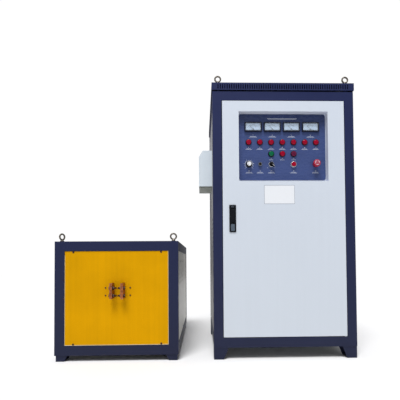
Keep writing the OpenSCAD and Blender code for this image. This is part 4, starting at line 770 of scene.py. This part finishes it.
def barrel(x, z, l, ro=11.0):
    def thread(a, r, h):
        return r
    prof = [(0, 0.0), (ro, 0.0), (ro, 3.0)]
    h = 8.0
    prof.append((ro, h))
    while h < l - 8:
        prof += [(ro, h + 0.4), (ro - 0.5, h + 1.0), (ro, h + 1.6)]
        h += 2.0
    prof += [(ro - 0.6, h), (ro - 0.6, l - 0.4), (ro - 1.0, l), (0, l)]
    add_revolve(bm, prof, (x, BF, z), "y", 48, 0, thread)
    add_revolve(bm, [(ro, 3.0), (14.6, 3.0), (15.0, 3.4), (15.0, 7.5), (14.5, 8.0), (ro, 8.0)], (x, BF, z), "y", 96, 0, lambda a, r, h: r - (0.6 * (0.5 - 0.5 * math.cos(32 * a)) if r > 14.9 else 0))
    for s in (-1, 1):
        add_box(bm, x + s * 5 - 2.2, BF + l - 0.5, z - 5, x + s * 5 + 2.2, BF + l, z + 5, 1)
        pan_head(bm, (x + s * 5, BF + l - 0.3, z), "y", 1, 1.9, 0.3, 1, 20)


for x in COL:
    barrel(x, ROW1, 40)
for x in COL[2:5]:
    barrel(x, ROW2, 40)
barrel(SEL_X, ROW3, 46)
c = (BUTT_X, BF, ROW3)
for (x, l) in ((BUTT_X, 46.0), (STOP_X, 50.0)):
    # a hollow barrel with a moving stem inside
    prof = [(8.1, 0.0), (11.0, 0.0), (11.0, 8.0)]
    h = 8.0
    while h < l - 8:
        prof += [(11.0, h + 0.4), (10.5, h + 1.0), (11.0, h + 1.6)]
        h += 2.0
    prof += [(10.4, h), (10.4, l - 0.4), (10.0, l), (0, l), (0, 30.0), (8.1, 30.0), (8.1, 0.0)]
    add_revolve(bm, prof[:-3], (x, BF, ROW3), "y", 48, 0)
    add_revolve(bm, [(8.1, 0.0), (8.1, 30.0), (0, 30.0)], (x, BF, ROW3), "y", 48, 0)
    add_revolve(bm, [(11.0, 3.0), (14.6, 3.0), (15.0, 3.4), (15.0, 7.5), (14.5, 8.0), (11.0, 8.0)], (x, BF, ROW3), "y", 96, 0, lambda a, r, h: r - (0.6 * (0.5 - 0.5 * math.cos(32 * a)) if r > 14.9 else 0))
    for s in (-1, 1):
        add_box(bm, x + s * 5 - 2.2, BF + l - 0.5, ROW3 - 5, x + s * 5 + 2.2, BF + l, ROW3 + 5, 1)
        pan_head(bm, (x + s * 5, BF + l - 0.3, ROW3), "y", 1, 1.9, 0.3, 1, 20)
# potentiometer behind the knob
c = (KNOB_X, BF, ROW3)
add_revolve(bm, [(0, 20.5), (12.0, 20.5), (12.5, 20.1), (12.5, 3.5), (12.0, 3.0), (0, 3.0)], c, "y", 48, 2)
for k in (-1, 0, 1):
    add_box(bm, KNOB_X + k * 5 - 1.2, BF + 8, ROW3 - 12.5, KNOB_X + k * 5 + 1.2, BF + 9, ROW3 - 11.5, 1)
add_revolve(bm, [(0, -15.0), (2.6, -15.0), (3.0, -14.6), (3.0, -6.0), (4.6, -6.0), (4.8, -5.8), (4.8, 3.2)], c, "y", 32, 2)
add_hex(bm, c, 13, 0, -2.6, "y", 2)
# front rings
for x, ro, ri, h in ((SEL_X, 14.5, 12.0, 6.5), (BUTT_X, 16.0, 12.6, 7.0)):
    add_revolve(bm, [(ri, 0.1), (ro, 0.1), (ro, -h + 1.4), (ro - 0.5, -h + 0.5), (ro - 1.3, -h), (ri + 0.5, -h), (ri, -h + 0.5), (ri, 0.1)], (x, BF, ROW3), "y", 96, 3)
add_revolve(bm, [(0, -0.4), (12.4, -0.4), (12.4, 0.0), (0, 0.0)], (SEL_X, BF, ROW3), "y", 48, 0)
add_revolve(bm, [(0, -0.4), (3.9, -0.4), (4.0, -0.8), (4.0, -4.6), (3.6, -5.0), (0, -5.0)], (SEL_X, BF, ROW3), "y", 48, 0)
add_revolve(bm, [(8.1, -0.12), (12.5, -0.12), (12.5, 0.0)], (BUTT_X, BF, ROW3), "y", 48, 0)
add_revolve(bm, [(8.1, 0.1), (15.0, 0.1), (15.0, -1.6), (14.4, -2.4), (12.6, -3.0), (12.0, -7.2), (11.4, -8.0), (8.5, -8.0), (8.1, -7.6), (8.1, 0.1)], (STOP_X, BF, ROW3), "y", 72, 4)
finish_mesh("switch_barrels", bm, ["black_plastic", "brass", "zinc_steel", "chrome", "dark_red"], "door", replaces="switch_and_lamp_bodies")

# ---- socket insert with contacts
bm = bmesh.new()
add_revolve(bm, [(0, -1.0), (7.45, -1.0), (7.45, -2.0), (6.6, -2.4), (5.6, -2.4), (5.2, -2.0), (0, -2.0)], (SOCK_X, BF, ROW3), "y", 48, 0)
for k in range(4):
    a = math.radians(45 + 90 * k)
    add_revolve(bm, [(0.5, -2.0), (0.5, -2.3), (1.1, -2.3), (1.3, -2.0)], (SOCK_X + 3.6 * math.cos(a), BF, ROW3 + 3.6 * math.sin(a)), "y", 20, 1)
finish_mesh("socket_insert", bm, ["black_plastic", "brass"], "door")
bm = bmesh.new()
add_tick(bm, SEL_X, ROW3, BF - 19.95, 6.0, 19.0, 135, 1.4, 0, 0.25)
finish_mesh("selector_line", bm, "print_white", "selector", flat=True)

# ---- lock: light arc mark and a keyhole
bm = bmesh.new()
add_arc(bm, 133.5, 786.5, F - 4.0, 5.4, 6.3, -120, 120, 32, 0, 0.12)
add_tick(bm, 133.5, 786.5, F - 4.0, -2.6, 2.6, 0, 0.9, 0, 0.12)
finish_mesh("lock_mark", bm, "print_grey", "door", flat=True)

# ---- screws of the cabinet
SIDE_Z = [119 + i * 1220 / 3 for i in range(4)]
bm = bmesh.new()
for yv in (-411, 171):
    for z in SIDE_Z:
        pan_head(bm, (35, yv, z), "x", -1, 5, 2.6)
        pan_head(bm, (773, yv, z), "x", 1, 5, 2.6)
for x in (89, 719):
    for z in SIDE_Z:
        pan_head(bm, (x, 219, z), "y", 1, 5, 2.6)
for i in (-1, 1):
    for k in (-1, 1):
        pan_head(bm, (DCX + 88 * i, 219, 1180 + 88 * k), "y", 1, 4.5, 2.6)
finish_mesh("cabinet_screw_heads", bm, "zinc_steel", "cabinet", replaces="cabinet_screws")

# ---- fasteners of the station
bm = bmesh.new()
for i in (0, 1):
    for z in (335, 373):
        y0 = -485
        if i == 0:
            head, nut, sh = (-491, -497.5), (-478, -471.5), (-491.5, -459)
        else:
            head, nut, sh = (-423, -416.5), (-436, -442.5), (-422.5, -453)
        add_hex(bm, (0, y0, z), 16, head[0], head[1], "x", 1)
        add_hex(bm, (0, y0, z), 16, nut[0], nut[1], "x", 1)
        d = 1 if sh[1] > sh[0] else -1
        prof = [(0, sh[0]), (5, sh[0])]
        h = nut[1]
        prof.append((5, h))
        while (sh[1] - h) * d > 2.4:
            prof += [(4.5, h + d * 0.7), (5.0, h + d * 1.4)]
            h += d * 1.4
        prof += [(4.6, sh[1] - d * 0.4), (4.0, sh[1]), (0, sh[1])]
        add_revolve(bm, prof, (0, y0, z), "x", 28, 1)
for p in ((-686, 86.5), (-238, 86.5), (-686, 556), (-238, 556)):
    pan_head(bm, (p[0], F + 3, p[1]), "y", -1, 5, 2.6, 1)
for x in (-522, -396):
    for z in (334, 373):
        pan_head(bm, (x, F + 3, z), "y", -1, 4, 2.6, 1)
for z in (319, 412):
    pan_head(bm, (-735, F, z), "y", -1, 3, 1.6, 1)
for yv in (-411, 0, 411):
    for z in (89, 553):
        pan_head(bm, (-777, yv, z), "x", -1, 5, 2.6)
        pan_head(bm, (-153, yv, z), "x", 1, 5, 2.6)
for x in (-721, -209):
    for z in (89, 553):
        pan_head(bm, (x, 459, z), "y", 1, 5, 2.6)
for x in (-730, -200):
    for yv in (-400, 0, 400):
        pan_head(bm, (x, yv, 611), "z", 1, 5, 2.6)
finish_mesh("station_screw_heads", bm, ["zinc_steel", "bronze_bolt"], "station", replaces="station_fasteners")

# ---- pale sawn edge of the amber board
bm = bmesh.new()
for x0, z0, x1, z1 in ((-729, 81, -201, 82.8), (-729, 82.8, -727.9, 540), (-202.2, 82.8, -201, 561)):
    add_box(bm, x0 - 0.05, F + 2.7, z0 - 0.05, x1 + 0.05, F + 3.2, z1 + 0.05)
finish_mesh("amber_board_edge", bm, "raw_edge", "station", flat=True)

# ---- louvre hoods
bm = bmesh.new()
for k in range(30):
    for s, xf, cols in ((-1, 35, (-305, 65) if k < 18 else (65,)), (1, 773, (-305, 65) if k < 24 else ())):
        for yc in cols:
            louvre(bm, "x", xf, s, yc, 150, 300 + 26 * k)
for k in range(16):
    for xc in (279, 529):
        louvre(bm, "y", 219, 1, xc, 170, 420 + 26 * k)
finish_mesh("cabinet_louvres", bm, "side_grey", "cabinet")
bm = bmesh.new()
for k in range(6):
    for yc in (-250, 0, 250):
        for s, xf in ((-1, -777), (1, -153)):
            louvre(bm, "x", xf, s, yc, 180, 380 + 25 * k)
finish_mesh("station_louvres", bm, "side_paint", "station")

# ---- fan: curved blades, wire guard
bm = bmesh.new()
fc = (DCX, 193.5, 1180)
add_revolve(bm, [(3.05, -11.5), (25.5, -11.5), (27, -10.3), (27, 9.6), (25.6, 11.2), (20, 11.5), (3.05, 11.5)], fc, "y", 64, 0)
for b in range(7):
    base = TAU * b / 7
    secs = []
    for i in range(9):
        u = i / 8
        r = 25.5 + 58.5 * u
        p = math.radians(42 - 16 * u)
        ch = 26 + 12 * u
        lean = 0.16 * u * u
        ring = []
        for side in (1, -1):
            for j in range(7):
                v = (j / 6 - 0.5) if side == 1 else (0.5 - j / 6)
                th = side * (0.9 * (1 - (2 * v) ** 2) + 0.25)
                camber = 2.2 * (1 - (2 * v) ** 2)
                tv = v * ch * math.cos(p) - (th + camber) * math.sin(p)
                yv = v * ch * math.sin(p) + (th + camber) * math.cos(p)
                yv = max(-10.5, min(10.5, yv - 1.0))
                a = base + lean + tv / r
                ring.append(V(bm, fc[0] + r * math.cos(a), fc[1] + yv, fc[2] + r * math.sin(a)))
        secs.append(ring)
    for s0, s1 in zip(secs, secs[1:]):
        for i in range(14):
            j = (i + 1) % 14
            face(bm, [s0[i], s0[j], s1[j], s1[i]])
    face(bm, secs[0])
    face(bm, secs[-1][::-1])
finish_mesh("fan_blades", bm, "blade_grey", "fan", replaces="fan_rotor")
bm = bmesh.new()
for r in (22, 33, 44, 55, 66, 77, 86):
    add_torus(bm, (DCX, 220.2, 1180), "y", r, 0.9, 72, 8)
for k in range(4):
    a = math.radians(45 + 90 * k)
    add_rod(bm, (DCX + 21 * math.cos(a), 218.9, 1180 + 21 * math.sin(a)), (DCX + 113 * math.cos(a), 218.9, 1180 + 113 * math.sin(a)), 1.0, 10)
add_revolve(bm, [(0, -1.2), (12, -1.2), (12.5, -0.8), (12.5, 0.6), (11.5, 1.2), (0, 1.2)], (DCX, 220.2, 1180), "y", 40)
for k in range(4):
    a = math.radians(45 + 90 * k)
    add_rod(bm, (DCX + 11 * math.cos(a), 219.9, 1180 + 11 * math.sin(a)), (DCX + 24 * math.cos(a), 219.2, 1180 + 24 * math.sin(a)), 1.0, 10)
finish_mesh("fan_guard", bm, "zinc_steel", "cabinet")

# ---- hose barb rings
bm = bmesh.new()
for x in (524, 574, 624, 674):
    for k in range(4):
        h = 236 + 7 * k
        add_revolve(bm, [(9.4, h - 2.6), (10.3, h + 1.4), (10.3, h + 2.0), (9.4, h + 2.2)], (x, 0, 230), "y", 40)
finish_mesh("cabinet_hose_barbs", bm, "brass", "cabinet")
bm = bmesh.new()
for x in (-660, -610, -560, -510):
    for k in range(4):
        h = 476 + 7 * k
        add_revolve(bm, [(9.4, h - 2.6), (10.3, h + 1.4), (10.3, h + 2.0), (9.4, h + 2.2)], (x, 0, 160), "y", 40)
finish_mesh("station_hose_barbs", bm, "brass", "station")

# ---- smoothing reactor: laminated core, two wound coils, straps
bm = bmesh.new()
rx, ry, rz = 120.0, -110.0, 112.5
for i in range(22):
    y0 = ry + 30 + i * 90 / 22
    y1 = y0 + 90 / 22 - 0.35
    e = 0.5 if i % 2 else 0.0
    add_box(bm, rx + e, y0, rz + 20 + e, rx + 60, y1, rz + 240 - e)
    add_box(bm, rx + 180, y0, rz + 20 + e, rx + 240 - e, y1, rz + 240 - e)
    add_box(bm, rx + 60, y0, rz + 20 + e, rx + 180, y1, rz + 70)
    add_box(bm, rx + 60, y0, rz + 190, rx + 180, y1, rz + 240 - e)
for x in (10, 200):
    for yv in (20, 120):
        add_box(bm, rx + x, ry + yv, rz, rx + x + 30, ry + yv + 10, rz + 62, 2)
for x in (0, 180):
    for i in range(14):
        z0 = rz + 74 + i * 8
        r = rounded(rx + x - 18, ry + 8, rx + x + 78, ry + 142, 8, 5)
        q = rounded(rx + x - 0.5, ry + 29.5, rx + x + 60.5, ry + 120.5, 1, 5)
        a = [V(bm, u, w, z0 + 1.2) for u, w in r]
        b = [V(bm, u, w, z0 + 6.6) for u, w in r]
        r2_ = rounded(rx + x - 16.6, ry + 9.4, rx + x + 76.6, ry + 140.6, 7, 5)
        a0 = [V(bm, u, w, z0) for u, w in r2_]
        b0 = [V(bm, u, w, z0 + 7.8) for u, w in r2_]
        c0 = [V(bm, u, w, z0) for u, w in q]
        d0 = [V(bm, u, w, z0 + 7.8) for u, w in q]
        n = len(r)
        for i2 in range(n):
            j2 = (i2 + 1) % n
            for s, t in ((a0, a), (a, b), (b, b0), (b0, d0), (d0, c0), (c0, a0)):
                face(bm, [s[i2], s[j2], t[j2], t[i2]], 1)
finish_mesh("reactor_wound", bm, ["core_iron", "winding_copper", "galvanised"], "cabinet", replaces="smoothing_reactor", flat=True)

# ---- inner details on the mounting plate
bm = bmesh.new()
# terminals of the modules
for i in range(3):
    x0, z0 = 170, 450 + i * 100
    for k in range(3):
        add_hex(bm, (x0 + 23 + k * 28, 0, z0 + 31), 8, 56.0, 52.6, "y", 0)
for i in range(4):
    x0, z0 = 310, 440 + i * 105
    for k in range(3):
        add_hex(bm, (x0 + 19 + k * 27, 0, z0 + 39), 8, 52.0, 48.6, "y", 0)
# capacitor tops: vent and terminal screws
for i in range(4):
    for yv in (-90, 5):
        cx = 434 + 80 * i
        for s in (-1, 1):
            add_revolve(bm, [(0, 264.4), (4.4, 264.4), (4.6, 266.0), (4.0, 266.6), (1.6, 266.6), (1.5, 265.4), (0, 265.4)], (cx + s * 14, yv, 0), "z", 24, 0)
        add_revolve(bm, [(33.0, 252.4), (34.0, 253.4), (36.6, 253.4), (37.4, 252.4)], (cx, yv, 0), "z", 64, 1)
        add_revolve(bm, [(0, 253.2), (4.0, 253.2), (4.2, 252.4)], (cx, yv + 18, 0), "z", 24, 2)
# breaker face: centre scale and rivets
for x in (158, 249):
    for z in (1172, 1239):
        pan_head(bm, (x, 34 if False else 48.0, z), "y", -1, 2.6, 1.4, 0, 20)
add_box(bm, 196, 33.8, 1190, 211, 34.2, 1191, 3)
add_text(bm, "ON", 203.5, 1241, 34.0, 6, 3)
add_text(bm, "OFF", 203.5, 1170, 34.0, 6, 3)
# board components
for k in range(7):
    add_revolve(bm, [(0, 0), (4.0, 0), (4.2, -1), (4.2, -11), (3.6, -12), (0, -11.7)], (484 + 14 * k, 100, 1000), "y", 28, 2)
for k in range(9):
    add_box(bm, 570 + 11 * k, 96.5, 935, 577 + 11 * k, 100, 951, 4)
for k in range(10):
    add_box(bm, 486 + 18 * k, 81.8, 852, 495 + 18 * k, 82.2, 862, 0)
for k in range(12):
    add_box(bm, 500 + 9 * k, 98.8, 905, 504 + 9 * k, 100, 907.5, 1)
for x in (476, 682):
    for z in (842, 1118):
        pan_head(bm, (x, 100, z), "y", -1, 3.4, 1.8, 0, 20)
finish_mesh("inner_details", bm, ["zinc_steel", "aluminium", "capacitor_can", "print_white", "black_plastic"], "cabinet")

# ---- resonant capacitor studs and winding ties
bm = bmesh.new()
for i in range(4):
    x = -607 + 100 * i
    for yv in (250, 300, 350):
        add_hex(bm, (x, yv, 0), 14, 303.5, 309.5, "z", 0)
for x in (-560, -354):
    for z in (160, 282):
        add_hex(bm, (x, 0, z), 13, -20.0, -26.0, "y", 0)
finish_mesh("station_studs", bm, ["zinc_steel"], "station")

# ------------------------------------------------------------------ floor, backdrop and light
bm = bmesh.new()
N_F = 12
g = [[bm.verts.new((-9 + 18 * i / N_F, -9 + 18 * k / N_F, -0.0005)) for i in range(N_F + 1)] for k in range(N_F + 1)]
for k in range(N_F):
    for i in range(N_F):
        bm.faces.new([g[k][i], g[k][i + 1], g[k + 1][i + 1], g[k + 1][i]])
me = bpy.data.meshes.new("stage_floor")
bm.to_mesh(me)
bm.free()
floor = bpy.data.objects.new("stage_floor", me)
bpy.context.scene.collection.objects.link(floor)
for p in me.polygons:
    p.use_smooth = True
M["floor"] = material("floor", (240, 240, 241), 0.75, var=0.003, bump=0.0, spec=0.1)
me.materials.append(M["floor"])

world = bpy.data.worlds.new("soft_world")
bpy.context.scene.world = world
world.use_nodes = True
wt = world.node_tree
bg = wt.nodes["Background"]
bg.inputs["Color"].default_value = (1.0, 1.0, 1.0, 1)
bg.inputs["Strength"].default_value = 0.36
paper = node(wt, "ShaderNodeBackground", (0, -200))
paper.inputs["Color"].default_value = (1.0, 1.0, 1.0, 1)
paper.inputs["Strength"].default_value = 1.02
ray = node(wt, "ShaderNodeLightPath", (-200, 200))
mix = node(wt, "ShaderNodeMixShader", (200, 0))
wt.links.new(ray.outputs["Is Camera Ray"], mix.inputs["Fac"])
wt.links.new(bg.outputs["Background"], mix.inputs[1])
wt.links.new(paper.outputs["Background"], mix.inputs[2])
wt.links.new(mix.outputs["Shader"], wt.nodes["World Output"].inputs["Surface"])


def area(name, loc, aim, size, power, color=(1, 1, 1)):
    l = bpy.data.lights.new(name, "AREA")
    l.shape = "RECTANGLE"
    l.size, l.size_y = size
    l.energy = power
    l.color = color
    o = bpy.data.objects.new(name, l)
    bpy.context.scene.collection.objects.link(o)
    o.location = loc
    o.rotation_mode = "QUATERNION"
    o.rotation_quaternion = (Vector(aim) - Vector(loc)).to_track_quat("-Z", "Y")
    return o


sun = bpy.data.lights.new("sun", "SUN")
sun.energy = 3.0
sun.angle = math.radians(24)
so = bpy.data.objects.new("sun", sun)
bpy.context.scene.collection.objects.link(so)
so.rotation_mode = "QUATERNION"
so.rotation_quaternion = Vector((0.11, 0.44, -0.89)).to_track_quat("-Z", "Y")
area("front_soft", (-1.2, -4.6, 3.4), (0.1, -0.3, 0.7), (4.0, 1.2), 12)
